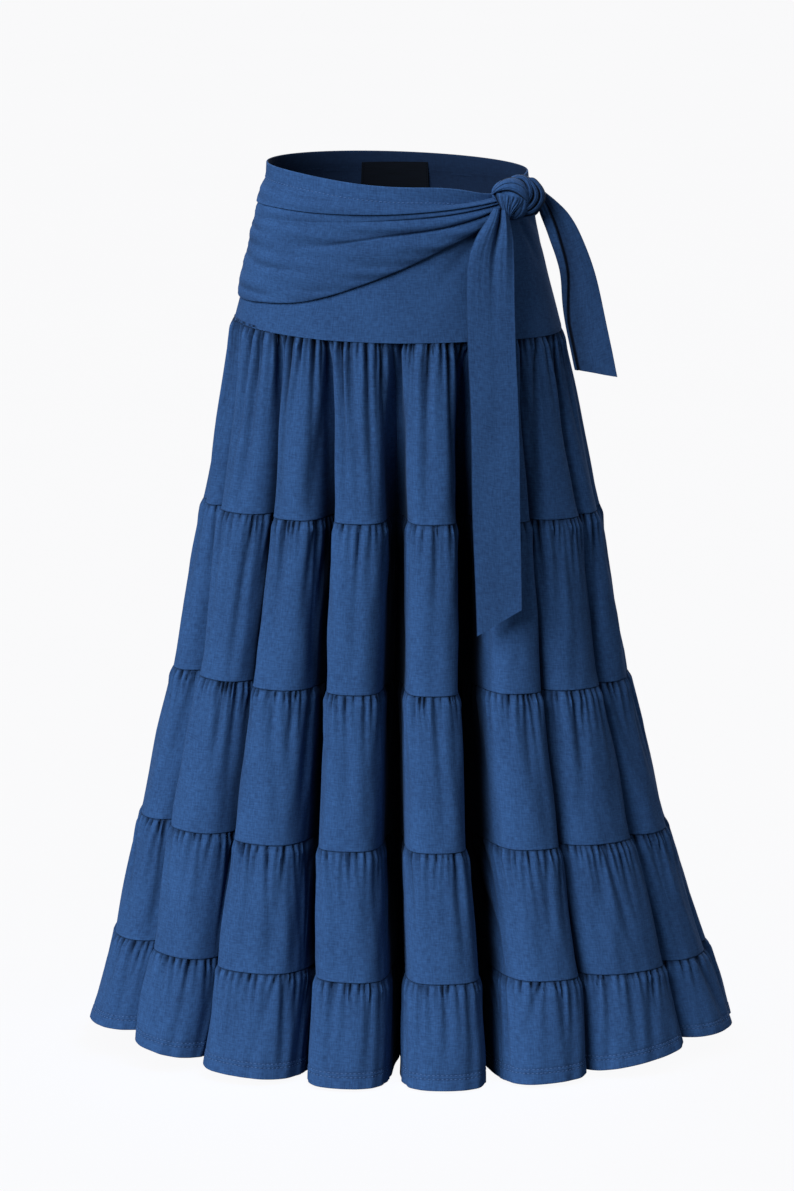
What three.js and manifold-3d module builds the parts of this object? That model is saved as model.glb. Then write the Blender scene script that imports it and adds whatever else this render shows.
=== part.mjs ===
// A long tiered skirt: a fitted hip yoke, five gathered tiers, and a sash that is
// drawn across the yoke in pleats and knotted at one hip. It is filled out as it is worn.
// Millimetres, +Z up. The front faces -Y and the knot is on the +X side.
// The origin is the centre of the waist, where the wearer holds the skirt up.
import * as THREE from "three";
import { mergeVertices } from "three/addons/utils/BufferGeometryUtils.js";
import Module from "manifold-3d";

// Cloth and seams
const CLOTH = 1.5; // wall of the skirt, the sash and the ties
const BAND_CLOTH = 2.2; // the waistband is folded double
const LABEL_CLOTH = 1.0;
const SEAM_GAP = 0.3; // between any two pieces that are sewn together
const LAY_GAP = 0.45; // between a panel and what lies on it, whose facets differ a little

// Hip form, from the waist to the yoke seam
const WAIST = { halfWidth: 135, front: 97, back: 97 };
const YOKE_SEAM = { halfWidth: 171, front: 112, back: 121 };
const YOKE_HEIGHT = 168;
const HIP_CURVE = 1.3; // above 1 the hip swells late, near the yoke seam
const BAND_HEIGHT = 22;
const YOKE_STEP = 5; // degrees between the columns of the yoke
const YOKE_ROWS = [0, 0.3, 0.65, 1]; // shares of the yoke's height

// How the waist's edge leaves the level: a dip at the front, a tilt to the knot's side,
// and the pull of the knot.
const FRONT_DIP = 8;
const SIDE_TILT = 4.5;
const KNOT_PULL = { depth: 14, at: 48, width: 20 };

// One row for each seam ring below the yoke, at level 0 (yoke seam) to level 5 (hem).
// shift moves the ring towards +X, rise lifts its front, fold is the depth of its folds,
// and open is the share of each valley's gap that stands open there.
const RINGS = [
  { z: -168, halfWidth: 171.0, front: 112, back: 121, shift: 0.0, rise: 1.5, fold: 0, open: 1 },
  { z: -357, halfWidth: 208.7, front: 133, back: 142, shift: 4.6, rise: 5, fold: 20, open: 1 },
  { z: -534, halfWidth: 241.7, front: 153, back: 162, shift: 4.0, rise: 6, fold: 34, open: 1 },
  { z: -694, halfWidth: 282.3, front: 178, back: 186, shift: 7.0, rise: 6, fold: 44, open: 0.9 },
  { z: -826, halfWidth: 319.4, front: 201, back: 208, shift: 14.6, rise: 4, fold: 50, open: 0.6 },
  { z: -928, halfWidth: 348.6, front: 227, back: 230, shift: 16.0, rise: 0, fold: 55, open: 0.3 },
];

// One row for each valley between two folds, in degrees round from the centre front.
// top and hem are where it starts and ends, deep scales its depth, and gap is the share
// of the pitch that lies open at its foot. lift is how far the hem hangs above the level
// there, because it swings out to the sides. The first and the ninth are the side seams.
const VALLEYS = [
  { top: -88, hem: -83, deep: 0.8, gap: 0.03, lift: 19 },
  { top: -74, hem: -61.5, deep: 0.85, gap: 0.03, lift: 25 },
  { top: -43, hem: -43.5, deep: 0.9, gap: 0.04, lift: 9 },
  { top: -25, hem: -22, deep: 1.1, gap: 0.06, lift: 2 },
  { top: -0.5, hem: -4.5, deep: 1.2, gap: 0.08, lift: 0 },
  { top: 26, hem: 15.5, deep: 1.3, gap: 0.1, lift: 0 },
  { top: 47.5, hem: 34, deep: 0.75, gap: 0.03, lift: 4 },
  { top: 71, hem: 60, deep: 0.85, gap: 0.03, lift: 19 },
  { top: 87, hem: 82, deep: 0.8, gap: 0.03, lift: 19 },
  { top: 104, hem: 101, deep: 0.85, gap: 0.03, lift: 8 },
  { top: 122, hem: 120, deep: 1.0, gap: 0.05, lift: 2 },
  { top: 141, hem: 138, deep: 1.15, gap: 0.07, lift: 0 },
  { top: 158, hem: 158, deep: 0.95, gap: 0.04, lift: 0 },
  { top: 176, hem: 176, deep: 1.2, gap: 0.08, lift: 0 },
  { top: 195, hem: 194, deep: 1.0, gap: 0.05, lift: 0 },
  { top: 213, hem: 214, deep: 1.15, gap: 0.07, lift: 0 },
  { top: 231, hem: 232, deep: 0.9, gap: 0.04, lift: 3 },
  { top: 251, hem: 252, deep: 0.85, gap: 0.03, lift: 9 },
];
const SIDE_VALLEY = 8; // the valley of the second side seam
const HEM_LEVEL = RINGS.length - 1;
const FOLD_COLUMNS = [0, 0.07, 0.2, 0.35, 0.5, 0.65, 0.8, 0.93]; // shares of a fold's width
const FOLD_FLATNESS = 2.8; // a higher power makes a fold's crest flatter
const FOLD_STEEPNESS = 2; // and its sides steeper

// Gathers: two to a fold, strongest just under the seam
const GATHER_WAVE = [-1, 0, 1, 0, -1, 0, 1, 0]; // at the columns of a fold
const TIER_ROWS = [
  { down: 0, puff: 0, gather: 0 },
  { down: 0.09, puff: 3.5, gather: 2.4 },
  { down: 0.45, puff: 3, gather: 1.2 },
  { down: 1, puff: 0, gather: 0 },
];

// Sash: one row for each line across it. z gives its heights, evenly spaced round from the side
// seam to the knot, and stand says how far it stands off the yoke at the side seam and at the knot.
// The back of the sash mirrors the front, and goes further round to the knot's far side.
const SASH_SPAN = { from: -90, frontTo: 50, backTo: 100 };
const SASH_COLUMN = 5; // degrees between the columns of the sash
const SASH_SWELL = 1.5; // above 1 the pleats rise late, near the knot
const SASH_LINES = [
  { name: "top edge", z: [-14, -14, -19, -24, -27, -22], stand: [0, 0] },
  { name: "first pleat", z: [-26, -25, -27, -29, -28.5, -23.5], stand: [6, 6.5] },
  { name: "first pleat's foot", z: [-36, -35, -35.5, -34.5, -30.5, -25], stand: [3.6, 3] },
  { name: "second pleat", z: [-43, -42, -41, -38.5, -33.5, -26.5], stand: [5.2, 6.5] },
  { name: "second pleat's foot", z: [-52, -51, -48, -42.5, -36.5, -28.5], stand: [4, 3] },
  { name: "third pleat", z: [-65, -63, -58, -50, -41, -30.5], stand: [5.4, 6.8] },
  { name: "third pleat's foot", z: [-78, -75, -69, -60, -46, -32.5], stand: [4, 3] },
  { name: "broad lower pleat", z: [-98, -95, -88, -73, -53, -35], stand: [4.6, 6.5] },
  { name: "roll of the lower edge", z: [-126, -125, -117, -92, -63, -38], stand: [3.6, 5] },
  { name: "lower edge", z: [-135, -134, -126, -99, -68, -40], stand: [2, 2.5] },
];

// Knot: two pleated bulbs at the hip
const KNOT_FRONT = {
  centre: [112.5, -74, -24],
  axis: [0.6, -0.15, -0.78],
  halfLength: 20,
  radius: 20,
  ridges: 14,
};
const KNOT_SIDE = {
  centre: [136, -61, -22],
  axis: [0.15, 0.1, 0.98],
  halfLength: 23.5,
  radius: 15.5,
  ridges: 14,
};
const RIDGE = 1.1; // how far a pleat of the knot stands out
const BULB_RINGS = 7;
const KNOT_REST = 0.5; // the knot's back stands this far off the waistband and the yoke
const REST_HEIGHTS = [30, -20, -60, -100]; // rows of the hip form that the knot rests on

// Ties: one row for each level. left and right are the edges in X, y is the middle's depth,
// and crease is how far the lengthwise pleats stand out.
const FRONT_TIE = [
  { z: -31, left: 98, right: 112, y: -87, crease: 3 },
  { z: -43, left: 91, right: 115, y: -93, crease: 5 },
  { z: -60, left: 80, right: 118, y: -97, crease: 5 },
  { z: -84, left: 72, right: 119, y: -99, crease: 4.5 },
  { z: -122, left: 71, right: 120, y: -104, crease: 3 },
  { z: -180, left: 73, right: 122, y: -114, crease: 1.6 },
  { z: -230, left: 75, right: 124, y: -122, crease: 1 },
  { z: -327, left: 77, right: 126, y: -134, crease: 0.8 },
  { z: -438, left: 82, right: 128, y: -148, crease: 0.8 },
];
const SIDE_TIE = [
  { z: -18, left: 137, right: 149, y: -54, crease: 2 },
  { z: -30, left: 143, right: 164, y: -54, crease: 4 },
  { z: -44, left: 147, right: 177, y: -54, crease: 5 },
  { z: -66, left: 155, right: 189, y: -55, crease: 6 },
  { z: -102, left: 167, right: 203, y: -56, crease: 7 },
  { z: -144, left: 171, right: 213, y: -58, crease: 6 },
  { z: -211, left: 183, right: 227, y: -62, crease: 3 },
];
const FRONT_TIE_POINT = -26; // how much lower the tie's left corner hangs than its right one
const SIDE_TIE_POINT = 7; // how much higher
const TIE_SLANT = 6; // a high power keeps the slant near the tie's end
const TIE_PLEATS = [0, 0.6, 1, 0.2, -0.6, 0.1, 0.8, 0.5, 0]; // across a tie, from left to right

// Label inside the back of the waist: the angles of its columns and the heights of its rows
const LABEL_ANGLES = { from: 166, to: 196 };
const LABEL_HEIGHTS = [-11, -22, -32, -42];

const radians = THREE.MathUtils.degToRad;
const mix = THREE.MathUtils.lerp;

const range = (from, to, step) => {
  const count = Math.round((to - from) / step);
  return Array.from({ length: count + 1 }, (_, i) => from + i * step);
};

// The value of each key of two rows, mixed
function mixRows(rows, level) {
  const low = Math.min(Math.floor(level), rows.length - 2);
  const share = level - low;
  const mixed = {};
  for (const key of Object.keys(rows[low])) {
    mixed[key] = mix(rows[low][key], rows[low + 1][key], share);
  }
  return mixed;
}

// A point of an oval ring with its own half-depth at the front and at the back
function ovalPoint(ring, angle, z, out = 0) {
  const depth = Math.cos(angle) > 0 ? ring.front : ring.back;
  const x = (ring.shift ?? 0) + (ring.halfWidth + out) * Math.sin(angle);
  return new THREE.Vector3(x, -(depth + out) * Math.cos(angle), z);
}

// The hip form at a height: a smooth swell from the waist to the yoke seam
function hipRing(z) {
  const share = THREE.MathUtils.clamp(-z / YOKE_HEIGHT, 0, 1) ** HIP_CURVE;
  return {
    halfWidth: mix(WAIST.halfWidth, YOKE_SEAM.halfWidth, share),
    front: mix(WAIST.front, YOKE_SEAM.front, share),
    back: mix(WAIST.back, YOKE_SEAM.back, share),
  };
}

function hipPoint(degrees, z, out = 0) {
  return ovalPoint(hipRing(z), radians(degrees), z, out);
}

// How far the waist's edge stands above the level
function waistLift(degrees) {
  const front = Math.max(Math.cos(radians(degrees)), 0);
  const pull = ((degrees - KNOT_PULL.at) / KNOT_PULL.width) ** 2;
  const tilt = SIDE_TILT * Math.sin(radians(degrees));
  return -FRONT_DIP * front ** 4 - tilt - KNOT_PULL.depth * Math.exp(-pull);
}

function ringLift(ring, angle) {
  return ring.rise * Math.max(Math.cos(angle), 0) ** 2;
}

// How far into its valleys the cloth lies, from 0 at a fold's crest to 1 at a valley's foot
function foldProfile(share, gapBefore, gapAfter) {
  const inFold = (share - gapBefore) / (1 - gapBefore - gapAfter);
  const fromCrest = Math.min(Math.abs(2 * inFold - 1), 1);
  return 1 - (1 - fromCrest ** FOLD_FLATNESS) ** (1 / FOLD_STEEPNESS);
}

// A point of the folded skirt. fold counts valleys, share runs across that fold,
// level runs from the yoke seam to the hem, and out stands proud of the oval.
function skirtPoint(fold, share, level, out = 0) {
  const ring = mixRows(RINGS, level);
  const count = VALLEYS.length;
  const before = VALLEYS[fold % count];
  const after = VALLEYS[(fold + 1) % count];
  const turn = (valley, turns) => mix(valley.top, valley.hem, level / HEM_LEVEL) + 360 * turns;
  const from = turn(before, Math.floor(fold / count));
  const to = turn(after, Math.floor((fold + 1) / count));
  const angle = radians(mix(from, to, share));
  const deep = ring.fold * mix(before.deep, after.deep, share);
  const inset = deep * foldProfile(share, before.gap * ring.open, after.gap * ring.open);
  const hemLift = mix(before.lift, after.lift, share) * Math.max(level - HEM_LEVEL + 1, 0);
  return ovalPoint(ring, angle, ring.z + ringLift(ring, angle) + hemLift, out - inset);
}

// The points of a row moved level and square to the row, towards the inside of the ring
function movedInwards(row, before, after, distance) {
  const line = [before, ...row, after];
  return row.map((point, i) => {
    const along = new THREE.Vector3().subVectors(line[i + 2], line[i]);
    const inwards = new THREE.Vector3(-along.y, along.x, 0).setLength(distance);
    return point.clone().add(inwards);
  });
}

// Pulls the two ends of a row together a little, to part it from the next panel
function shortened(row, gap) {
  const ends = [
    [0, 1],
    [row.length - 1, row.length - 2],
  ];
  for (const [end, next] of ends) {
    const along = new THREE.Vector3().subVectors(row[next], row[end]).setLength(gap / 2);
    row[end] = row[end].clone().add(along);
  }
  return row;
}

// A closed wall between two grids of points: rows run down, columns run to the right
// when it is seen from its outer face.
function wallGeometry(outer, inner) {
  const rows = outer.length;
  const columns = outer[0].length;
  const points = [...outer.flat(), ...inner.flat()];
  const index = [];
  const out = (r, c) => r * columns + c;
  const back = (r, c) => rows * columns + out(r, c);
  const quad = (a, b, c, d) => index.push(a, b, c, a, c, d);
  const last = { row: rows - 1, column: columns - 1 };
  for (let r = 0; r < last.row; r += 1) {
    for (let c = 0; c < last.column; c += 1) {
      quad(out(r, c), out(r + 1, c), out(r + 1, c + 1), out(r, c + 1));
      quad(back(r, c), back(r, c + 1), back(r + 1, c + 1), back(r + 1, c));
    }
    quad(out(r, 0), back(r, 0), back(r + 1, 0), out(r + 1, 0));
    const c = last.column;
    quad(out(r + 1, c), back(r + 1, c), back(r, c), out(r, c));
  }
  for (let c = 0; c < last.column; c += 1) {
    const r = last.row;
    quad(out(0, c), out(0, c + 1), back(0, c + 1), back(0, c));
    quad(out(r, c + 1), out(r, c), back(r, c), back(r, c + 1));
  }
  const geometry = new THREE.BufferGeometry().setFromPoints(points);
  geometry.setIndex(index);
  return geometry;
}

// A solid body with two pointed poles: rings of points round an axis
function bulbGeometry(bulb, grow = 0) {
  const along = new THREE.Vector3(...bulb.axis).normalize();
  const side = new THREE.Vector3(0, 1, 0).cross(along).normalize();
  const up = new THREE.Vector3().crossVectors(along, side);
  const centre = new THREE.Vector3(...bulb.centre);
  const round = bulb.ridges * 2;
  const points = [centre.clone().addScaledVector(along, -bulb.halfLength - grow)];
  for (let ring = 1; ring < BULB_RINGS; ring += 1) {
    const bend = (Math.PI * ring) / BULB_RINGS;
    const reach = -Math.cos(bend) * (bulb.halfLength + grow);
    for (let i = 0; i < round; i += 1) {
      const ridge = (i % 2 ? -RIDGE : RIDGE) * Math.sin(bend);
      const radius = Math.sin(bend) * (bulb.radius + grow) + ridge;
      const turn = (2 * Math.PI * i) / round;
      const point = centre.clone().addScaledVector(along, reach);
      point.addScaledVector(side, radius * Math.cos(turn));
      points.push(point.addScaledVector(up, radius * Math.sin(turn)));
    }
  }
  points.push(centre.clone().addScaledVector(along, bulb.halfLength + grow));
  const index = [];
  const at = (ring, i) => 1 + (ring - 1) * round + (i % round);
  for (let i = 0; i < round; i += 1) {
    index.push(0, at(1, i + 1), at(1, i));
    for (let ring = 1; ring < BULB_RINGS - 1; ring += 1) {
      index.push(at(ring, i), at(ring, i + 1), at(ring + 1, i + 1));
      index.push(at(ring, i), at(ring + 1, i + 1), at(ring + 1, i));
    }
    index.push(at(BULB_RINGS - 1, i), at(BULB_RINGS - 1, i + 1), points.length - 1);
  }
  const geometry = new THREE.BufferGeometry().setFromPoints(points);
  geometry.setIndex(index);
  return geometry;
}

const wasm = await Module();
wasm.setup();
const MERGE_DISTANCE = 1e-4;

function solidOf(geometry) {
  const merged = mergeVertices(geometry, MERGE_DISTANCE);
  return new wasm.Manifold(
    new wasm.Mesh({
      numProp: 3,
      vertProperties: merged.attributes.position.array,
      triVerts: new Uint32Array(merged.index.array),
    }),
  );
}

function geometryOf(solid) {
  const mesh = solid.getMesh();
  const geometry = new THREE.BufferGeometry();
  geometry.setAttribute("position", new THREE.BufferAttribute(mesh.vertProperties, 3));
  geometry.setIndex(new THREE.BufferAttribute(mesh.triVerts, 1));
  return geometry;
}

// The largest body of a solid that a cut has parted
function largestBody(solid) {
  const bodies = solid.decompose();
  return bodies.sort((a, b) => b.volume() - a.volume())[0];
}

const COTTON_BLUE = 0x35588f;
const DEEP_BLUE = 0x2c4c80;
const LABEL_COLOUR = 0x0c141f;
const clothLook = { color: COTTON_BLUE, roughness: 0.9, metalness: 0, side: THREE.DoubleSide };

function clothMesh(name, geometry, color = COTTON_BLUE) {
  geometry.computeVertexNormals();
  const mesh = new THREE.Mesh(geometry, new THREE.MeshStandardMaterial({ ...clothLook, color }));
  mesh.name = name;
  return mesh;
}

// Half of the waistband or of the yoke, between two heights that may change with the angle
function hipPanel(name, from, heights, rows, cloth) {
  const angles = range(from, from + 180, YOKE_STEP);
  const rowAt = (degrees, share) => {
    const { top, foot } = heights(degrees);
    return hipPoint(degrees, mix(top, foot, share));
  };
  const outer = rows.map((share) => angles.map((degrees) => rowAt(degrees, share)));
  const inner = outer.map((row, r) => {
    const before = rowAt(from - YOKE_STEP, rows[r]);
    const after = rowAt(from + 180 + YOKE_STEP, rows[r]);
    return shortened(movedInwards(row, before, after, cloth), SEAM_GAP);
  });
  outer.forEach((row) => shortened(row, SEAM_GAP));
  return clothMesh(name, wallGeometry(outer, inner));
}

function bandHeights(degrees) {
  const top = waistLift(degrees);
  return { top, foot: top - BAND_HEIGHT };
}

function yokeHeights(degrees) {
  const seam = RINGS[0].z + ringLift(RINGS[0], radians(degrees));
  return { top: bandHeights(degrees).foot - SEAM_GAP, foot: seam + SEAM_GAP / 2 };
}

// Half of a tier, from one side seam's valley to the other's. tier 1 hangs from the yoke.
function tierPanel(name, tier, firstFold, lastFold) {
  const columns = [];
  for (let fold = firstFold; fold < lastFold; fold += 1) {
    FOLD_COLUMNS.forEach((share, i) => columns.push({ fold, share, wave: GATHER_WAVE[i] }));
  }
  columns.push({ fold: lastFold, share: 0, wave: GATHER_WAVE[0] });
  const beyond = {
    before: { fold: firstFold + VALLEYS.length - 1, share: FOLD_COLUMNS.at(-1), wave: 0 },
    after: { fold: lastFold, share: FOLD_COLUMNS[1], wave: 0 },
  };
  const pointAt = (column, row) => {
    const out = row.puff + row.gather * column.wave;
    const point = skirtPoint(column.fold, column.share, tier - 1 + row.down, out);
    if (row.down === 0) point.z -= SEAM_GAP / 2;
    if (row.down === 1 && tier < HEM_LEVEL) point.z += SEAM_GAP / 2;
    return point;
  };
  const outer = TIER_ROWS.map((row) => columns.map((column) => pointAt(column, row)));
  const inner = outer.map((row, r) => {
    const before = pointAt(beyond.before, TIER_ROWS[r]);
    const after = pointAt(beyond.after, TIER_ROWS[r]);
    return shortened(movedInwards(row, before, after, CLOTH), SEAM_GAP);
  });
  outer.forEach((row) => shortened(row, SEAM_GAP));
  return clothMesh(name, wallGeometry(outer, inner));
}

// The front or the back of the sash, from the side seam to the knot
function sashGeometry(isFront) {
  const { from, frontTo, backTo } = SASH_SPAN;
  const to = isFront ? frontTo : backTo;
  const angles = range(from, to, SASH_COLUMN);
  const heights = SASH_LINES.map((line) => {
    const points = line.z.map((z, i) => new THREE.Vector2(i, z));
    return new THREE.SplineCurve(points);
  });
  const rowAt = (k, grow) => {
    const row = angles.map((degrees) => {
      const share = (degrees - from) / (to - from);
      const [atSide, atKnot] = SASH_LINES[k].stand;
      const stand = mix(atSide, atKnot, share ** SASH_SWELL);
      const turned = isFront ? degrees : 180 - degrees;
      return hipPoint(turned, heights[k].getPoint(share).y, LAY_GAP + stand + grow);
    });
    return shortened(isFront ? row : row.reverse(), SEAM_GAP);
  };
  const face = (grow) => SASH_LINES.map((_, k) => rowAt(k, grow));
  return wallGeometry(face(CLOTH), face(0));
}

// A tie end that hangs from the knot, with pleats that run down it
function tieGeometry(levels, point) {
  const rows = levels.length;
  const across = TIE_PLEATS.length - 1;
  const face = (back) =>
    levels.map((level, r) =>
      TIE_PLEATS.map((pleat, c) => {
        const share = c / across;
        const slant = point * (1 - share) * (r / (rows - 1)) ** TIE_SLANT;
        const x = mix(level.left, level.right, share);
        return new THREE.Vector3(x, level.y - pleat * level.crease + back, level.z + slant);
      }),
    );
  return wallGeometry(face(0), face(CLOTH));
}

// The room that the hips take, on which the knot rests
function hipBlock(grow) {
  const round = range(0, 360 - YOKE_STEP, YOKE_STEP);
  const rowAt = (z) => round.map((degrees) => hipPoint(degrees, z, grow));
  const points = REST_HEIGHTS.flatMap(rowAt);
  const last = REST_HEIGHTS.length - 1;
  const index = [];
  const at = (r, i) => r * round.length + (i % round.length);
  for (let r = 0; r < last; r += 1) {
    for (let i = 0; i < round.length; i += 1) {
      index.push(at(r, i), at(r + 1, i), at(r + 1, i + 1), at(r, i), at(r + 1, i + 1), at(r, i + 1));
    }
  }
  const top = points.push(new THREE.Vector3(0, 0, REST_HEIGHTS[0])) - 1;
  const foot = points.push(new THREE.Vector3(0, 0, REST_HEIGHTS[last])) - 1;
  for (let i = 0; i < round.length; i += 1) {
    index.push(top, at(0, i), at(0, i + 1));
    index.push(foot, at(last, i + 1), at(last, i));
  }
  const geometry = new THREE.BufferGeometry().setFromPoints(points);
  geometry.setIndex(index);
  return solidOf(geometry);
}

// The sashes, the knot and the ties, each cut back from what it meets
function sashAndKnot() {
  const rest = hipBlock(KNOT_REST);
  const frontBulb = solidOf(bulbGeometry(KNOT_FRONT)).subtract(rest);
  const frontRoom = solidOf(bulbGeometry(KNOT_FRONT, SEAM_GAP));
  const sideRoom = solidOf(bulbGeometry(KNOT_SIDE, SEAM_GAP));
  const sideBulb = solidOf(bulbGeometry(KNOT_SIDE)).subtract(rest).subtract(frontRoom);
  const knotRoom = frontRoom.add(sideRoom);
  const freeOfKnot = (geometry) => geometryOf(largestBody(solidOf(geometry).subtract(knotRoom)));
  return [
    clothMesh("knot_front_turn", geometryOf(largestBody(frontBulb))),
    clothMesh("knot_side_turn", geometryOf(largestBody(sideBulb)), DEEP_BLUE),
    clothMesh("sash_front", freeOfKnot(sashGeometry(true))),
    clothMesh("sash_back", freeOfKnot(sashGeometry(false)), DEEP_BLUE),
    clothMesh("tie_front", freeOfKnot(tieGeometry(FRONT_TIE, FRONT_TIE_POINT))),
    clothMesh("tie_side", freeOfKnot(tieGeometry(SIDE_TIE, SIDE_TIE_POINT)), DEEP_BLUE),
  ];
}

// The label lies on the inside of the waistband and the yoke at the centre back
function label() {
  const angles = range(LABEL_ANGLES.from, LABEL_ANGLES.to, YOKE_STEP);
  const inside = BAND_CLOTH + SEAM_GAP;
  const face = (out) => LABEL_HEIGHTS.map((z) => angles.map((degrees) => hipPoint(degrees, z, out)));
  const geometry = wallGeometry(face(-inside), face(-inside - LABEL_CLOTH));
  return clothMesh("label", geometry, LABEL_COLOUR);
}

const skirt = new THREE.Group();
const BAND_ROWS = [0, 1];
const FRONT = { from: -90, firstFold: 0, lastFold: SIDE_VALLEY };
const BACK = { from: 90, firstFold: SIDE_VALLEY, lastFold: VALLEYS.length };
for (const [name, half] of Object.entries({ front: FRONT, back: BACK })) {
  skirt.add(hipPanel(`waistband_${name}`, half.from, bandHeights, BAND_ROWS, BAND_CLOTH));
  skirt.add(hipPanel(`yoke_${name}`, half.from, yokeHeights, YOKE_ROWS, CLOTH));
  for (let tier = 1; tier <= HEM_LEVEL; tier += 1) {
    skirt.add(tierPanel(`tier_${tier}_${name}`, tier, half.firstFold, half.lastFold));
  }
}
skirt.add(...sashAndKnot(), label());

export default skirt;
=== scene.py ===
"""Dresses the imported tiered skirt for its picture.

Every cloth piece of the frame is remade as a thin closed shell on the form of its solid,
with its gathers, pleats, turned edges and stitches, in millimetres in the row frame.
"""

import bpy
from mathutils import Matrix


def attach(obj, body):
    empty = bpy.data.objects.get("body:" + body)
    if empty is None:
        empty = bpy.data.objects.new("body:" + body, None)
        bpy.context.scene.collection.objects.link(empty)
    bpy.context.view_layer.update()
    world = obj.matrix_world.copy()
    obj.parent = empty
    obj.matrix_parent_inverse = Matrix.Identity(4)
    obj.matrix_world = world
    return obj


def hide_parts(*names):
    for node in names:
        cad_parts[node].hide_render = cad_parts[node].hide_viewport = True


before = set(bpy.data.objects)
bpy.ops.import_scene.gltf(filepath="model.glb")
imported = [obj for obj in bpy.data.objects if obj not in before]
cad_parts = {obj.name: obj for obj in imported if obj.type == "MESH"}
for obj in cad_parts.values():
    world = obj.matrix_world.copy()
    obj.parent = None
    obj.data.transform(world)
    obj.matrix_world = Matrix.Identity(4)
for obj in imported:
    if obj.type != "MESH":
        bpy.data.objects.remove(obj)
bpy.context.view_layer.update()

import logging
import math
from dataclasses import dataclass
from enum import Enum
from typing import Any

import bpy
import numpy as np
from mathutils import Vector

logging.basicConfig(level=logging.INFO, format="%(message)s")
log = logging.getLogger("skirt")

Array = np.ndarray
MM = 0.001
BODY = "root"
CLOTH_UV = "cloth_uv"
# the attribute that holds each point's painted shade, from 0 to 1
PAINTED_SHADE = "crease_shade"
CAMERA_PITCH = 13.0  # degrees, how far the camera looks down
HIP_PER_DEGREE = 2.7  # mm round the hips for a degree


class Slot(Enum):
    """The record's material slots."""

    SKIRT = "skirt_cloth"
    SASH = "sash_cloth"
    LABEL = "label"


class Half(Enum):
    """The front or the back of the skirt, between its two side seams."""

    FRONT = ("front", -90.0, 0, 8)
    BACK = ("back", 90.0, 8, 18)

    @property
    def word(self) -> str:
        """The half's word in the names of its pieces."""
        return self.value[0]

    @property
    def start(self) -> float:
        """The angle of its first side seam, in degrees from the centre front."""
        return self.value[1]

    @property
    def folds(self) -> tuple[int, int]:
        """The valleys at its first and last side seam."""
        return self.value[2], self.value[3]


# Small tools for shapes


def ripple(across: Array, along: Array, waves: tuple[float, float], seed: int) -> Array:
    """Make a smooth uneven field from a few crossing waves.

    Args:
        across: the first coordinate.
        along: the second coordinate, of a shape that goes with the first.
        waves: the usual wavelength on each coordinate.
        seed: picks the waves.

    Returns:
        A field of about -1 to 1.
    """
    rng = np.random.default_rng(seed)
    field = np.zeros(np.broadcast(across, along).shape)
    for _ in range(7):
        stretch = rng.uniform(0.6, 1.8, 2)
        turn = rng.uniform(0, 2 * math.pi)
        signs = rng.choice([-1, 1])
        phase = across / (waves[0] * stretch[0]) + signs * along / (waves[1] * stretch[1])
        field += np.sin(2 * math.pi * phase + turn)
    return field / 4


def eased(value: Array) -> Array:
    """Ease a value between 0 and 1, and hold it there outside."""
    held = np.clip(value, 0, 1)
    return held * held * (3 - 2 * held)


def grid_normals(grid: Array) -> Array:
    """Find the outward normal at each point of a grid.

    Args:
        grid: rows that run down, columns that run to the right, seen from outside.

    Returns:
        A unit vector for each point.
    """
    down = np.gradient(grid, axis=0)
    right = np.gradient(grid, axis=1)
    normal = np.cross(down, right)
    return normal / np.maximum(np.linalg.norm(normal, axis=2, keepdims=True), 1e-9)


def smooth_through(points: Array, count: int) -> Array:
    """Draw a smooth curve that passes through points.

    Args:
        points: the control points, along the first axis.
        count: the number of steps between two of them.

    Returns:
        The curve's points, along the first axis.
    """
    before = np.concatenate([2 * points[:1] - points[1:2], points, 2 * points[-1:] - points[-2:-1]])
    pieces = []
    for k in range(len(points) - 1):
        a, b, c, d = before[k : k + 4]
        for t in np.arange(count) / count:
            bend = (2 * a - 5 * b + 4 * c - d) * t**2 + (3 * b - a - 3 * c + d) * t**3
            pieces.append((2 * b + (c - a) * t + bend) / 2)
    return np.array([*pieces, points[-1]])


def spread_evenly(curve: Array, count: int) -> Array:
    """Find where to sample a curve so that the samples lie evenly along it.

    Args:
        curve: points along the first axis.
        count: the number of samples.

    Returns:
        The places of the samples, as numbers from 0 to the curve's last index.
    """
    length = np.concatenate([[0], np.cumsum(np.linalg.norm(np.diff(curve, axis=0), axis=1))])
    return np.interp(np.linspace(0, length[-1], count), length, np.arange(len(curve)))


def cavity(height: Array, spread: int) -> Array:
    """Say how far each point lies below the cloth beside it, along the first axis.

    Args:
        height: how far each point stands out.
        spread: the number of points on each side that count as beside it.

    Returns:
        The distance, at or above zero.
    """
    edge = ((spread + 1, spread), *((0, 0),) * (height.ndim - 1))
    total = np.cumsum(np.pad(height, edge, mode="edge"), axis=0)
    width = 2 * spread + 1
    return np.maximum((total[width:] - total[:-width]) / width - height, 0)


def read_rows(table: Array, places: Array) -> Array:
    """Read a table between its rows, at places counted in rows."""
    return np.stack([np.interp(places, np.arange(len(table)), c) for c in table.T], axis=-1)


def read_smoothly(values: tuple[float, ...], share: Array, count: int) -> Array:
    """Read a smooth curve through evenly placed values, at shares of the way along it."""
    curve = smooth_through(np.array(values, float)[:, None], count)[:, 0]
    return np.interp(share, np.linspace(0, 1, len(curve)), curve)


def arc_lengths(grid: Array, axis: int) -> Array:
    """Measure along each row or column of a grid, from its start."""
    steps = np.linalg.norm(np.diff(grid, axis=axis), axis=2)
    return np.insert(np.cumsum(steps, axis=axis), 0, 0, axis=axis)


def flat_places(across: Array, along: Array) -> Array:
    """Give the place of each point on the flat cloth, in metres."""
    return np.stack(np.broadcast_arrays(across, along), axis=-1) * MM


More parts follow.
